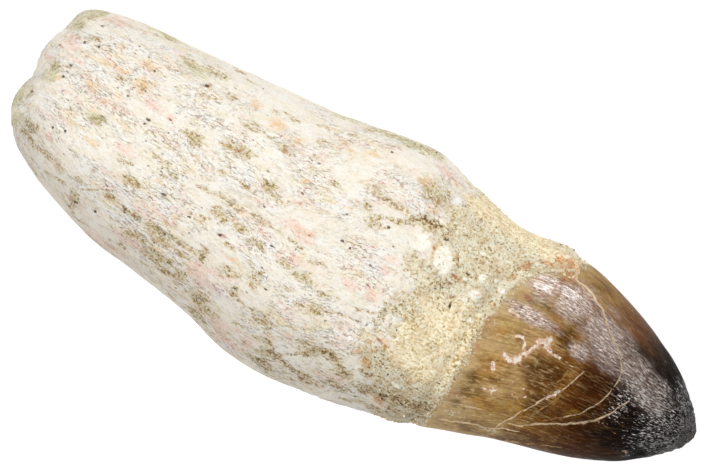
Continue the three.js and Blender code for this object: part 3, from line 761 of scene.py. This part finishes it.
def bone_colour(look, way):
    """Chalky bone: white and cream clouds, and crumbs and dashes of many tints. Returned with
    it is where the dark crumbs and dashes are.
    """
    clouds = look.noise(way, 1.2, 2.2, detail=6, roughness=0.7, place=1).step(0.42, 0.62)
    busy = 0.3 + 0.7 * look.noise(way, 5, 1.8, place=76).step(0.42, 0.58)
    bone = look.mix(clouds, (242, 237, 226), (238, 229, 209))
    for place, across, stretch, least, share, colour in BONE_TINTS:
        cloud = look.noise(way, across, stretch, detail=5, roughness=0.7, place=place)
        bone = look.mix(share * busy * cloud.step(least, least + 0.12), bone, colour)

    speckles = look.noise(way, 0.35, 2, detail=4, roughness=0.7, place=66)
    speckled = 0.35 + 0.65 * speckles.step(0.44, 0.56)
    rust = look.field("rust") + 2.4 * look.ragged(way, 0.9, 2.2, 41)
    rose = look.field("rose") + 2.4 * look.ragged(way, 0.8, 2.6, 51)
    near = look.noise(way, 2.6, 1.8, place=64).step(0.44, 0.62)
    tan = look.flecks(way, 0.34, 2.6, 61, 0.57) * (0.15 + 0.85 * near) * busy
    strewn = look.noise(way, 2.2, 1.6, place=74).step(0.42, 0.6)
    crumbs = look.flecks(way, 0.3, 1.8, 71, 0.6) * (0.3 + 0.7 * strewn) * busy
    red = look.flecks(way, 0.34, 2.2, 81, 0.58) * rose.max(strewn * busy - 0.4).step(-0.3, 0.4)
    streaks = look.flecks(way, 0.2, 5, 88, 0.6) * busy
    grit = look.noise(way, 0.2, 1.6, detail=2, roughness=0.6, place=89)
    bone = look.layered(
        bone,
        (0.75 * rust.step(-0.1, 0.7) * speckled, (234, 190, 130)),
        (0.65 * rose.step(-0.1, 0.6) * speckled, (240, 198, 182)),
        (0.6 * tan, (190, 168, 124)),
        (0.7 * crumbs, (142, 108, 80)),
        (0.65 * red, (200, 112, 86)),
        (0.5 * streaks, (156, 124, 84)),
        (0.3 * busy * grit.step(0.55, 0.72), (170, 146, 100)),
        (0.5 * grit.step(0.44, 0.3), (255, 253, 248)))
    return bone, tan.max(0.7 * crumbs).max(streaks)


def pin_holes(look, way):
    """Tiny holes of the bone, drawn out along it: 1 in a hole."""
    gap = look.cells(way, 1.15, 1.8, place=7)
    size = look.cell_numbers(way, 1.15, 1.8, 7).step(0.5, 1)
    return (0.12 * size - gap).step(-0.03, 0.03)


def ground_finish(name):
    """Bone with sand on it, for the root and for the sandy neck, so that they join unseen."""
    look = Look(name)
    way = look.field("way", "Vector")
    fray = look.ragged(way, 0.5, 2.8, 91)
    far = look.ragged(way, 1.4, 3, 93)
    neck = look.field("neck")
    even = look.mark("even", 0.6 * far, -0.05, 0.4)
    tone = 0.5 + (sand_tone(look, way) - 0.5) * (1 + 0.3 * neck - 0.55 * even)

    bone, marked = bone_colour(look, way)
    hole = pin_holes(look, way)
    pepper = look.field("pepper")
    packed = look.mix(neck, hollow_colour(look, tone, pepper), sand_colour(look, tone, pepper))
    sand = look.mark("sand", 3.2 * fray + 2 * far + 0.1, -0.2, 0.45)
    thick = neck.max(0.25 + 0.75 * tone.step(0.45, 0.58))
    groove = look.mark("groove", 5 * fray + 3 * far, 1.9, 0)
    chip = look.mark("chip", fray, 0, 0.2)
    chalk = look.mix(tone.step(0.52, 0.7), (255, 251, 238), (241, 221, 188))
    orange = look.mix(tone.step(0.4, 0.65), (238, 192, 136), (198, 128, 76))
    silt = look.ramp(tone, (0.4, (228, 222, 184)), (0.65, (180, 170, 122)))
    pit = look.mark("pit", 0.5 * fray, 0.5, 0.7)
    colour = look.layered(
        bone,
        (0.7 * hole, (112, 80, 60)),
        (0.95 * sand * thick, packed),
        (0.85 * groove * (0.4 + 0.6 * tone.step(0.4, 0.55)), hollow_colour(look, tone, 0.45)),
        (chip, chalk),
        (0.75 * look.mark("rust", 2.2 * fray, 0, 0.7) * neck, orange),
        (0.7 * look.mark("red", 2.2 * fray, 0.1, 0.8), (172, 100, 66)),
        (0.75 * look.mark("silt", 2 * fray + far, -0.1, 0.7), silt),
        (0.7 * look.field("crack").step(1.3, 0.5), (96, 72, 46)),
        (0.85 * pit, (74, 48, 34)))
    # Painted shade: the tooth's lower side is multiplied darker and a cooler grey.
    colour = look.mix(look.field("underside_shade"), colour, (206, 203, 200), "MULTIPLY")

    rubbed = sand * (1 - 0.6 * even) * (1 - 0.9 * chip)
    normal = look.bump(1 - marked, 0.1)
    normal = look.bump(look.noise(way, 0.45, 1.8, detail=4, roughness=0.65, place=11), 0.11, normal)
    normal = look.bump((tone - 0.5) * rubbed, 0.3, normal)
    normal = look.bump(1 - pit.max(hole), 0.2, normal)
    return look.surface(Base_Color=colour, Roughness=0.75 + 0.15 * sand, Normal=normal,
                        Specular_IOR_Level=0.3)


def enamel_body(look, way, wander):
    """The enamel's own colour, from its pale base to its black tip."""
    depth = look.field("depth")
    rough_side = look.ramp(
        depth + 0.35 * wander, (0, (212, 188, 148)), (0.13, (194, 164, 120)),
        (0.3, (162, 124, 76)), (0.42, (134, 84, 28)), (0.54, (90, 44, 8)), (0.67, (32, 15, 6)),
        (0.8, (14, 9, 7)), (1, (8, 6, 5)))
    smooth_side = look.ramp(
        depth + 0.15 * wander, (0, (164, 134, 80)), (0.36, (160, 126, 72)),
        (0.5, (138, 98, 54)), (0.62, (106, 64, 36)), (0.74, (56, 36, 26)), (0.9, (18, 13, 10)))
    olive = look.noise(look.place, 2.4, place=35).step(0.48, 0.62)
    blotch = look.noise(way, 2.8, 1.4, detail=5, roughness=0.65, place=83)
    mottle = look.noise(way, 0.8, 1.5, detail=6, roughness=0.72, place=87)
    stria = look.noise(way, 0.32, 14, detail=4, roughness=0.62, place=15)
    glow = look.noise(way, 0.36, 6, detail=4, roughness=0.65, place=25).step(0.52, 0.64)
    body = look.layered(
        look.mix(look.field("face"), rough_side, smooth_side),
        (0.5 * olive * depth.step(0.6, 0.3), (148, 122, 54)),
        (0.6 * look.mark("gold", 1.6 * wander, -0.2, 0.6), (166, 118, 40)),
        (0.72 * look.mark("umber", 1.6 * wander, -0.2, 0.6), (68, 34, 8)),
        (0.5 * blotch.step(0.5, 0.38) * depth.step(0.8, 0.5), (84, 50, 14)),
        (0.6 * blotch.step(0.52, 0.64) * depth.step(0.6, 0.2), (190, 162, 104)),
        (0.35 * mottle.step(0.46, 0.34) * depth.step(0.75, 0.4), (96, 62, 28)),
        (0.7 * mottle.step(0.53, 0.64) * depth.step(0.6, 0.2), (216, 190, 142)),
        (0.3 * stria.step(0.5, 0.34), (40, 20, 8)),
        (0.5 * glow * depth.step(0.9, 0.3), (212, 176, 120)))
    return body, depth, stria


def enamel_finish():
    look = Look("crown_enamel")
    way = look.field("way", "Vector")
    wander = look.ragged(way, 3, 2.2, 2)
    body, depth, stria = enamel_body(look, way, wander)

    silver_and_sheen = look.field("silver_and_sheen") + 1.8 * wander
    crinkle = look.cells(look.bent(way, 0.35), 0.4, 3.6, place=65, feature="DISTANCE_TO_EDGE")
    sheen_threads = look.noise(way, 0.28, 4, detail=4, roughness=0.66, place=42, bend=0.4)
    shaded_creases = (0.7 * crinkle.step(0.12, 0.03)).max(sheen_threads.step(0.46, 0.39))
    glint_specks = look.noise(way, 0.28, 2.4, detail=2, roughness=0.6, place=47)
    glints = (glint_specks + 0.2 * look.field("glints")).step(0.765, 0.795)
    fray = look.ragged(look.place, 0.45, place=45)
    crack = look.mark("crack", 1.4 * fray, 1.5, 0.7)
    worn = look.noise(look.place, 1.4, place=48).step(0.3, 0.5)
    hair = look.flecks(way, 0.5, 9, 58, 0.63) * depth.step(0.95, 0.6)
    torn = 5 * fray + 3 * look.ragged(look.place, 1.2, place=46)
    chip = look.mark("chip", torn, 1.3, 0.7)
    pinks = look.noise(look.place, 0.6, detail=4, place=85).step(0.46, 0.58)
    hazy = 2.4 * fray + 3 * look.ragged(look.place, 1.8, place=49)
    haze = look.mark("sand", hazy, -1.9, 0.3)
    sand = look.mark("sand", 3.6 * fray + 0.5 * hazy, -0.2, 0.4)
    tone = 0.5 + 1.1 * (sand_tone(look, way) - 0.5)
    body = look.layered(
        body,
        # Painted sheen over the silvery places, partly the enamel's own weathering; bright threads
        # as painted highlights; dark creases between them as painted shade.
        (0.88 * silver_and_sheen.step(-0.5, 0.6) * depth.step(0.95, 0.5), (214, 190, 176)),
        (0.95 * sheen_threads.step(0.5, 0.59) * silver_and_sheen.step(-0.4, 0.5), (253, 238, 228)),
        (0.8 * shaded_creases * silver_and_sheen.step(-0.6, 0.2), (74, 46, 34)),
        # Painted glints: bright specks on the dark tip.
        (0.95 * glints, (252, 246, 242)),
        (0.95 * crack * (0.6 + 0.4 * worn), (232, 204, 168)),
        (0.6 * look.mark("faint", 1.2 * fray, 1.3, 0.4) * worn, (206, 160, 104)),
        (0.4 * hair, (190, 156, 116)),
        (0.65 * look.mark("red", 2 * fray, 1.4, 0.3), (160, 96, 70)),
        (0.5 * look.mark("chip", torn, 2.8, 0.6), (190, 140, 100)),
        (0.95 * chip, look.mix(pinks, (246, 234, 218), (226, 186, 160))),
        (0.7 * look.mark("rust", 2.2 * fray, 0, 0.7), (200, 138, 92)),
        (0.7 * look.mark("spot", 2.2 * fray, 0.1, 0.8), (146, 76, 50)),
        (0.55 * haze, (196, 168, 122)),
        (0.95 * sand, sand_colour(look, tone, 0.06)))
    matt = (0.6 * crack).max(chip).max(sand).max(0.5 * haze)

    relief = look.field("wrinkled")
    wrinkle = look.noise(way, 0.55, 1.7, detail=4, roughness=0.65, place=55, bend=0.5)
    normal = look.bump((tone - 0.5) * sand, 0.5)
    normal = look.bump(wrinkle * relief, 0.5, normal)
    normal = look.bump(crinkle.step(0, 0.35) * relief, 0.22, normal)
    normal = look.bump(stria, 0.09, normal)
    normal = look.bump(fray * matt, 0.2, normal)
    gloss = 0.24 + 0.2 * look.noise(look.place, 0.8, place=75)
    return look.surface(Base_Color=body, Roughness=gloss + 0.45 * matt, Normal=normal,
                        Specular_IOR_Level=0.03, Coat_Roughness=0.16,
                        Coat_Weight=look.field("polish") * (1 - matt))


def grain_finish():
    look = Look("loose_grains")
    colour = look.ramp(
        look.field("tone"), (0, (92, 76, 54)), (0.12, (150, 130, 92)), (0.25, (206, 190, 150)),
        (0.6, (230, 216, 182)), (0.9, (250, 242, 222)), (1, (222, 170, 112)))
    speck = look.noise(look.place, 0.1, detail=2)
    return look.surface(Base_Color=colour, Roughness=0.7, Normal=look.bump(speck, 0.03),
                        Specular_IOR_Level=0.4)


# ---- Root and crown -------------------------------------------------------------------------

def piece_of(mesh, name, material, node):
    """A finished mesh as a piece that stands for a CAD node."""
    mesh.transform(Matrix.Scale(MM, 4))
    mesh.materials.clear()
    mesh.materials.append(material)
    mesh.shade_smooth()
    piece = placed(name, mesh)
    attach(piece, "root")
    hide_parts(node)
    return piece


def cut_and_remeshed(mesh, towards, voxel):
    """What lies to one side of the split, closed there, as an even fine mesh."""
    form = form_of(mesh)
    cut = bmesh.ops.bisect_plane(
        form, geom=form.verts[:] + form.edges[:] + form.faces[:], dist=SPLIT_SNAP,
        plane_co=(SPLIT_X, 0, 0), plane_no=(-towards, 0, 0), clear_outer=True)
    rim = [e for e in cut["geom_cut"] if isinstance(e, bmesh.types.BMEdge)]
    bmesh.ops.holes_fill(form, edges=rim)
    return with_modifier(mesh_of(form, "half"), "REMESH", mode="VOXEL", voxel_size=voxel,
                         adaptivity=0)


def ground_fields(points, skin):
    """The marks on the root and on the sand round the neck, as numbers at each point."""
    rod = skin.on_rod(points)
    up = skin.upness(points)
    bent = wobbled(points, 2, 0.6)
    finely_bent = wobbled(points, 1, 0.25, 5)

    x, y = as_seen(bent).T
    past_foot = x - np.interp(y, *np.transpose(SAND_FOOT))
    past_edge = points[:, 0] - skin.collar_edges(points)[0] - 3
    foot = np.clip(facing(up, past_foot, past_edge) / 2, -2, 2)
    foot += 1.2 * rough(points, 2.2, place=61)
    neck = smoothstep(foot, -0.4, 0.4)

    below = -rod[:, 1] / ROD_HALF[0]
    scattered = 0.9 * rough(rod, 2.2, 2.2, place=17) - 0.7
    flank = 1.1 * rough(rod, 1.7, 3.2, place=27) - 0.6
    flank -= 1.4 * smoothstep(-below, -0.8, -0.55)
    # Dark sand, and on the neck's lower flank painted shade as well.
    dark = ovals_on(bent, up, DARK_SAND_AND_SHADE)
    sand = np.maximum.reduce([ovals_on(bent, up, TAN_SAND, scattered), dark, foot, flank])
    sand -= 3 * np.maximum(ovals_on(bent, up, BARE_BONE), 0)

    even = ovals_on(points, up, SMOOTH_SAND) + 0.3 * rough(points, 3, octaves=2, place=71)
    calm = smoothstep(even, -0.1, 0.3)
    peppered = smoothstep(ovals_on(bent, up, PEPPERED_SAND, -0.4), -0.3, 0.5)
    uneven = 0.35 * rough(points, 2.6, place=77) * (1 - 0.7 * calm)
    pepper = neck * (0.2 * peppered + 0.34 * calm - 0.06 + uneven)
    pepper += 0.05 * (1 - neck) + (0.35 + 0.25 * neck) * smoothstep(dark, -0.2, 0.5)

    rust = 0.5 * rough(rod, 3, 2, octaves=2, place=29) - 0.5
    rose = 0.55 * rough(rod, 3, 2.4, octaves=2, place=43) - 0.5
    broken_end = facing(up, -1, smoothstep(points[:, 0], *SILT_ON_END) - 0.6)
    return {
        "way": rod, "sand": sand, "pepper": pepper, "even": even, "neck": neck,
        "rust": np.maximum(ovals_on(bent, up, RUST_STAINS), rust),
        "rose": np.maximum(ovals_on(bent, up, ROSE_STAINS), rose),
        "red": ovals_on(bent, up, RED_SPOTS),
        "silt": np.maximum(ovals_on(bent, up, SILT), broken_end),
        "pit": ovals_on(points, up, PITS),
        "groove": lines_on(finely_bent, up, DARK_GROOVES),
        "crack": lines_on(finely_bent, up, SAND_CRACKS),
        "chip": ovals_on(finely_bent, up, SAND_CHIPS),
        # Painted shade towards the tooth's lower side, stronger on the neck.
        "underside_shade": (0.6 + 0.3 * neck) * smoothstep(below, 0.45, 0.95),
    }


def ground_relief(points, fields, up):
    """How far the bone and the sand stand out of their smooth form."""
    rod = fields["way"]
    sand = smoothstep(fields["sand"], -0.1, 0.35)
    neck = smoothstep(points[:, 0], *NECK)
    calm = 1 - 0.6 * smoothstep(fields["even"], 0, 0.4)
    fibre = FIBRE * rough(rod, 1.5, 8, place=3)
    fibre += FINE_FIBRE * rough(rod, 0.6, 6, octaves=2, place=13)
    lumps = ROOT_LUMP * rough(points, 3.4, 1.6, place=23)
    bone = (1 - sand) * fibre * (1 - neck) + lumps * (1 - 0.5 * neck)
    packed = PACKED * sand * (1 - neck)
    humps = HUMP * rough(points, 2.4, place=9) * neck * calm
    grit = GRIT * (0.5 - pebbles(points, 0.44)) * sand * calm
    groove = GROOVE * smoothstep(fields["groove"], 1.6, 0.3)
    pit = PIT * smoothstep(fields["pit"], 0.3, 0.7)
    crack = SAND_CRACK * smoothstep(fields["crack"], 1.6, 0.5)
    sponge = SPONGE * smoothstep(points[:, 0], *SPONGE_ON_END)
    sponge *= smoothstep(rough(points, 1.4, place=53), 0.1, 0.5)
    chips = sum(chip[-1] * smoothstep(ovals_on(points, up, [chip]), 0, 0.3)
                for chip in SAND_CHIPS)
    crust = neck * smoothstep(fields["rust"], -0.2, 0.4) * CRUST * rough(points, 0.9, place=19)
    around = np.hypot(points[:, 0] - KNOB[0], points[:, 1] - KNOB[1])
    around += 0.2 * rough(points, 0.8, octaves=2, place=39)
    knob = KNOB_HEIGHT * np.exp(-((around - KNOB_RADIUS) / KNOB_WALL) ** 2)
    knob *= smoothstep(up, 0, 0.3) * (0.8 + 0.7 * rough(points, 0.7, octaves=2, place=49))
    return bone + packed + humps + grit + groove + pit + crack + sponge + chips + crust + knob


def root(tooth, skin):
    mesh = cut_and_remeshed(tooth, -1, ROOT_VOXEL)
    points = corners(mesh)
    fields = ground_fields(points, skin)
    relief = ground_relief(points, fields, skin.upness(points))
    buried = smoothstep(points[:, 0], *ROOT_BURIED)
    set_corners(mesh, points + corners(mesh, "normal") * (relief * buried)[:, None])
    keep(mesh, fields)
    return piece_of(mesh, "root", ground_finish("root_bone"), "tooth")


def crown_fields(points, skin):
    """The marks on the crown, as numbers at each point."""
    x = points[:, 0]
    rod = skin.on_rod(points)
    up = skin.upness(points)
    bent = wobbled(points, 1.2, 0.2)
    hazed = ovals_on(bent, up, HAZY_ENAMEL)
    sand = np.maximum(0.5 - 0.7 * (x - skin.collar_edges(points)[1]), 1.6 * hazed - 1.4)
    # Where the sheen is painted, partly the enamel's own silvery weathering; the coat is glossier
    # there too.
    silver_and_sheen = ovals_on(points, up, SILVER_AND_SHEEN_ENAMEL)
    # Painted glints on the tip; the coat is glossier there as well.
    glints = ovals_on(points, up, GLINT_ENAMEL) + 0.7 * rough(points, 3, 1.5, place=33)
    polish = 0.7 * smoothstep(silver_and_sheen, -0.6, 0.6) + 0.25 * smoothstep(glints, -0.4, 0.6)
    smooth_face = smoothstep(rod[:, 1] / ROD_HALF[0], *SMOOTH_FACE)
    under_face = smoothstep(-rod[:, 1] / ROD_HALF[0], *UNDER_FACE)
    face = np.maximum(smooth_face, 0.4 * under_face) * (1 - smoothstep(x, *WORN))
    return {
        "way": rod, "depth": np.interp(x, CROWN, (0, 1)), "face": face, "sand": sand,
        "crack": lines_on(bent, up, CROWN_CRACKS, half_widths_off(bent, BELLY_CRACKS)),
        "faint": lines_on(bent, up, FAINT_CRACKS),
        "red": lines_on(bent, up, RED_CRACKS),
        "chip": lines_on(wobbled(points, 0.9, 0.25), up, CROWN_CHIPS),
        "rust": ovals_on(bent, up, RUST_STAINS),
        "spot": ovals_on(bent, up, RED_SPOTS),
        "gold": ovals_on(points, up, GOLD_ENAMEL),
        "umber": ovals_on(points, up, UMBER_ENAMEL),
        "silver_and_sheen": silver_and_sheen, "glints": smoothstep(glints, -0.9, 0.5),
        "polish": polish + 0.3 * smoothstep(up, 0.3, -0.3),
        "wrinkled": 0.2 + 0.8 * smoothstep(x, *WRINKLES) * (1 - 0.8 * face),
    }


def crown_relief(points, fields):
    rod = fields["way"]
    stria = STRIA * rough(rod, 0.8, 14, octaves=2, place=3)
    wrinkles = WRINKLE * fields["wrinkled"] * rough(rod, 1.1, 2, place=9)
    lumps = CROWN_LUMP * rough(points, 5, 1.5, octaves=2, place=19)
    crack = CROWN_CRACK * smoothstep(fields["crack"], 1.6, 0.4)
    chips = CROWN_CHIP * smoothstep(fields["chip"], 1.4, 0.4)
    tip = smoothstep(points[:, 0], *TIP) * TIP_ROUGHNESS * rough(points, 0.9, place=29)
    out_of_sand = smoothstep(points[:, 0], *CROWN_OUT_OF_SAND)
    return out_of_sand * (stria + wrinkles + lumps + crack + chips + tip)


def crown(tooth, skin):
    mesh = cut_and_remeshed(tooth, 1, CROWN_VOXEL)
    points = corners(mesh)
    fields = crown_fields(points, skin)
    relief = crown_relief(points, fields)
    set_corners(mesh, points + corners(mesh, "normal") * relief[:, None])
    keep(mesh, fields)
    return piece_of(mesh, "crown", enamel_finish(), "tooth")


# ---- The sand round the neck ----------------------------------------------------------------

class Sheet:
    """Where the rolled-up sheet of sand lies: its rows run along the neck and its turns round
    it, and its reach is how far out each of them is.
    """

    def __init__(self, skin):
        self.skin = skin
        self.angles = np.linspace(0, math.tau, COLLAR_TURNS + 1)
        root_edge, crown_edge = skin.edges_at(self.angles)
        share = np.linspace(0, 1, COLLAR_ROWS + 1)[:, None]
        start, end = root_edge - COLLAR_LAP, crown_edge + COLLAR_LAP
        self.x = start + share * (end - start)
        bare, covered = [skin.reach(tree, self.x, self.angles) for tree in skin.trees]
        tapered = smoothstep(self.x - root_edge, *ROOT_TAPER)
        tapered *= smoothstep(self.x - crown_edge, *CROWN_TAPER)
        inside = np.clip(self.x, root_edge + EDGE_INSET, crown_edge - EDGE_INSET)
        columns = zip(inside.T, self.x.T, (covered - bare).T)
        self.reach = bare + tapered * np.transpose([np.interp(*column) for column in columns])

    def points(self, row, turn, lift=0):
        """Points at these rows and turns, lifted so far over the smooth outside."""
        x, angle = self.x[row, turn], self.angles[turn]
        y, z, _, _ = self.skin.sizes_at(x)
        out = self.reach[row, turn] + lift
        return np.stack([x, y + out * np.cos(angle), z + out * np.sin(angle)], axis=1)

    def cover(self, points):
        """How far the sand lies over the skin: it thins out and goes under at both its edges."""
        root_edge, crown_edge = self.skin.collar_edges(points)
        frayed = rough(points, 2.6, place=61)
        from_root = points[:, 0] - root_edge + 1.6 + 1.4 * frayed
        past_crown = points[:, 0] - crown_edge + 0.9 + frayed
        past_crown += 0.7 * rough(points, 0.9, octaves=2, place=63)
        trim = SAND_TRIM * smoothstep(from_root, 0.5, 3) * smoothstep(past_crown, -1, -3)
        sunk = smoothstep(from_root, 0.5, -2.4) + smoothstep(past_crown, -0.2, 2)
        return np.maximum(SAND_FILM - trim - (SAND_SUNK + SAND_FILM) * sunk, -SAND_SUNK)


def flat_sheet():
    """A grid to be rolled up: its columns go round the neck, and its rows along the sand and
    back under it.
    """
    form = bmesh.new()
    rows = COLLAR_ROWS + COLLAR_INNER_ROWS + 2
    bmesh.ops.create_grid(form, x_segments=COLLAR_TURNS, y_segments=rows, size=0.5)
    bmesh.ops.translate(form, verts=form.verts, vec=(0.5, 0.5, 0))
    bmesh.ops.scale(form, verts=form.verts, vec=(COLLAR_TURNS, rows, 1))
    return mesh_of(form, "sheet")


def seamed(mesh):
    """The rolled-up sheet with its edges joined, and its faces turned outwards."""
    form = form_of(mesh)
    bmesh.ops.remove_doubles(form, verts=form.verts, dist=SEAM)
    bmesh.ops.recalc_face_normals(form, faces=form.faces)
    return mesh_of(form, "collar")


def collar(skin):
    mesh = flat_sheet()
    turn, step, _ = np.rint(corners(mesh)).astype(int).T
    sheet = Sheet(skin)
    outer = step <= COLLAR_ROWS
    back = (step - COLLAR_ROWS) / (COLLAR_INNER_ROWS + 2)
    row = np.where(outer, step, np.rint((1 - back) * COLLAR_ROWS).astype(int))
    points = sheet.points(row, turn)
    fields = ground_fields(points, skin)
    lift = ground_relief(points, fields, skin.upness(points)) + sheet.cover(points)
    lift[(row == 0) | (row == COLLAR_ROWS)] = -SAND_SUNK
    under = -SAND_SUNK - COLLAR_WALL - COLLAR_DEPTH * np.sin(math.pi * row / COLLAR_ROWS)
    closing = (step == 0) | (step == COLLAR_ROWS + COLLAR_INNER_ROWS + 2)
    set_corners(mesh, sheet.points(row, turn, np.where(outer | closing, lift, under)))
    keep(mesh, fields)
    return piece_of(seamed(mesh), "matrix", ground_finish("sand_matrix"),
                    "matrix_collar")


def field_of(piece, name):
    values = np.empty(len(piece.data.vertices), np.float32)
    piece.data.attributes[name].data.foreach_get("value", values)
    return values


def grain_places(piece, wanted, count, dice):
    """Random places on a piece, where it is wanted, and its normals there."""
    chosen = dice.choice(np.flatnonzero(wanted), count, replace=False)
    return corners(piece.data)[chosen] / MM, corners(piece.data, "normal")[chosen]


def grains(root_piece, collar_piece, skin):
    """Grains of sand that stand free on the collar and in the root's sandy pits."""
    dice = np.random.default_rng(GRAIN_SEED)
    outward = skin.outward(corners(collar_piece.data) / MM)
    outer = np.einsum("ij,ij->i", corners(collar_piece.data, "normal"), outward) > OUTER
    sandy = field_of(collar_piece, "sand") > SANDY_COLLAR
    uneven = field_of(collar_piece, "even") <= MOST_EVEN
    places = [grain_places(collar_piece, outer & sandy & uneven, COLLAR_GRAINS, dice),
              grain_places(root_piece, field_of(root_piece, "sand") > SANDY_PIT, PIT_GRAINS, dice)]
    centres, normals = (np.concatenate(part) for part in zip(*places))
    form = bmesh.new()
    bmesh.ops.create_icosphere(form, subdivisions=1, radius=1)
    pebble = mesh_of(form, "pebble")
    form = bmesh.new()
    for centre, normal in zip(centres, normals):
        radius = dice.uniform(*GRAIN_RADII)
        stretch = Matrix.Diagonal((*(radius * dice.uniform(*GRAIN_STRETCH, 3)), 1))
        turn = Euler(dice.uniform(0, math.tau, 3)).to_matrix().to_4x4()
        own = pebble.copy()
        own.transform(Matrix.Translation(centre + normal * radius * GRAIN_STANDS) @ turn @ stretch)
        form.from_mesh(own)
        bpy.data.meshes.remove(own)
    mesh = mesh_of(form, "grains")
    set_corners(mesh, corners(mesh))
    keep(mesh, {"tone": np.repeat(dice.random(len(centres)), len(pebble.vertices))})
    return piece_of(mesh, "sand_grains", grain_finish(), "matrix_collar")


# ---- Floor, light and camera ----------------------------------------------------------------

def floor():
    look = Look("floor")
    material = look.surface(Base_Color=(FLOOR_TONE, FLOOR_TONE, FLOOR_TONE, 1), Roughness=0.95,
                            Emission_Color=(1, 1, 1, 1), Emission_Strength=FLOOR_GLOW,
                            Specular_IOR_Level=0)
    form = bmesh.new()
    bmesh.ops.create_grid(form, x_segments=1, y_segments=1, size=FLOOR_SIZE * MM)
    mesh = mesh_of(form, "floor")
    mesh.materials.append(material)
    placed("floor", mesh)


def softbox(name, place, size, power):
    """A square light at a place in millimetres, turned to the tooth."""
    light = bpy.data.lights.new(name, "AREA")
    light.size = size * MM
    light.energy = power
    box = placed(name, light)
    box.location = Vector(place) * MM
    box.rotation_euler = (-Vector(place)).to_track_quat("-Z", "Y").to_euler()


def lights():
    for name, place, size, power in SOFTBOXES:
        softbox(name, place, size, power)
    world = bpy.data.worlds.new("studio")
    world.use_nodes = True
    world.node_tree.nodes["Background"].inputs["Color"].default_value = (1, 1, 1, 1)
    world.node_tree.nodes["Background"].inputs["Strength"].default_value = STUDIO_GLOW
    bpy.context.scene.world = world
    bpy.context.scene.view_settings.view_transform = "Standard"


def camera():
    lens = bpy.data.cameras.new("camera")
    lens.sensor_width = SENSOR
    lens.lens = SENSOR * (CAMERA_HEIGHT - OUTLINE_HEIGHT) / VIEW_WIDTH
    eye = placed("camera", lens)
    eye.location = Vector((*VIEW_MIDDLE, CAMERA_HEIGHT)) * MM
    eye.rotation_euler = (0, 0, math.radians(VIEW_TURN))
    bpy.context.scene.camera = eye


# ---- The tooth ------------------------------------------------------------------------------

camera()
lights()
floor()
tooth_form = smooth_copy("tooth")
tooth_skin = Skin(tooth_form, smooth_copy("matrix_collar"))
root_piece = root(tooth_form, tooth_skin)
crown(tooth_form, tooth_skin)
collar_piece = collar(tooth_skin)
grains(root_piece, collar_piece, tooth_skin)
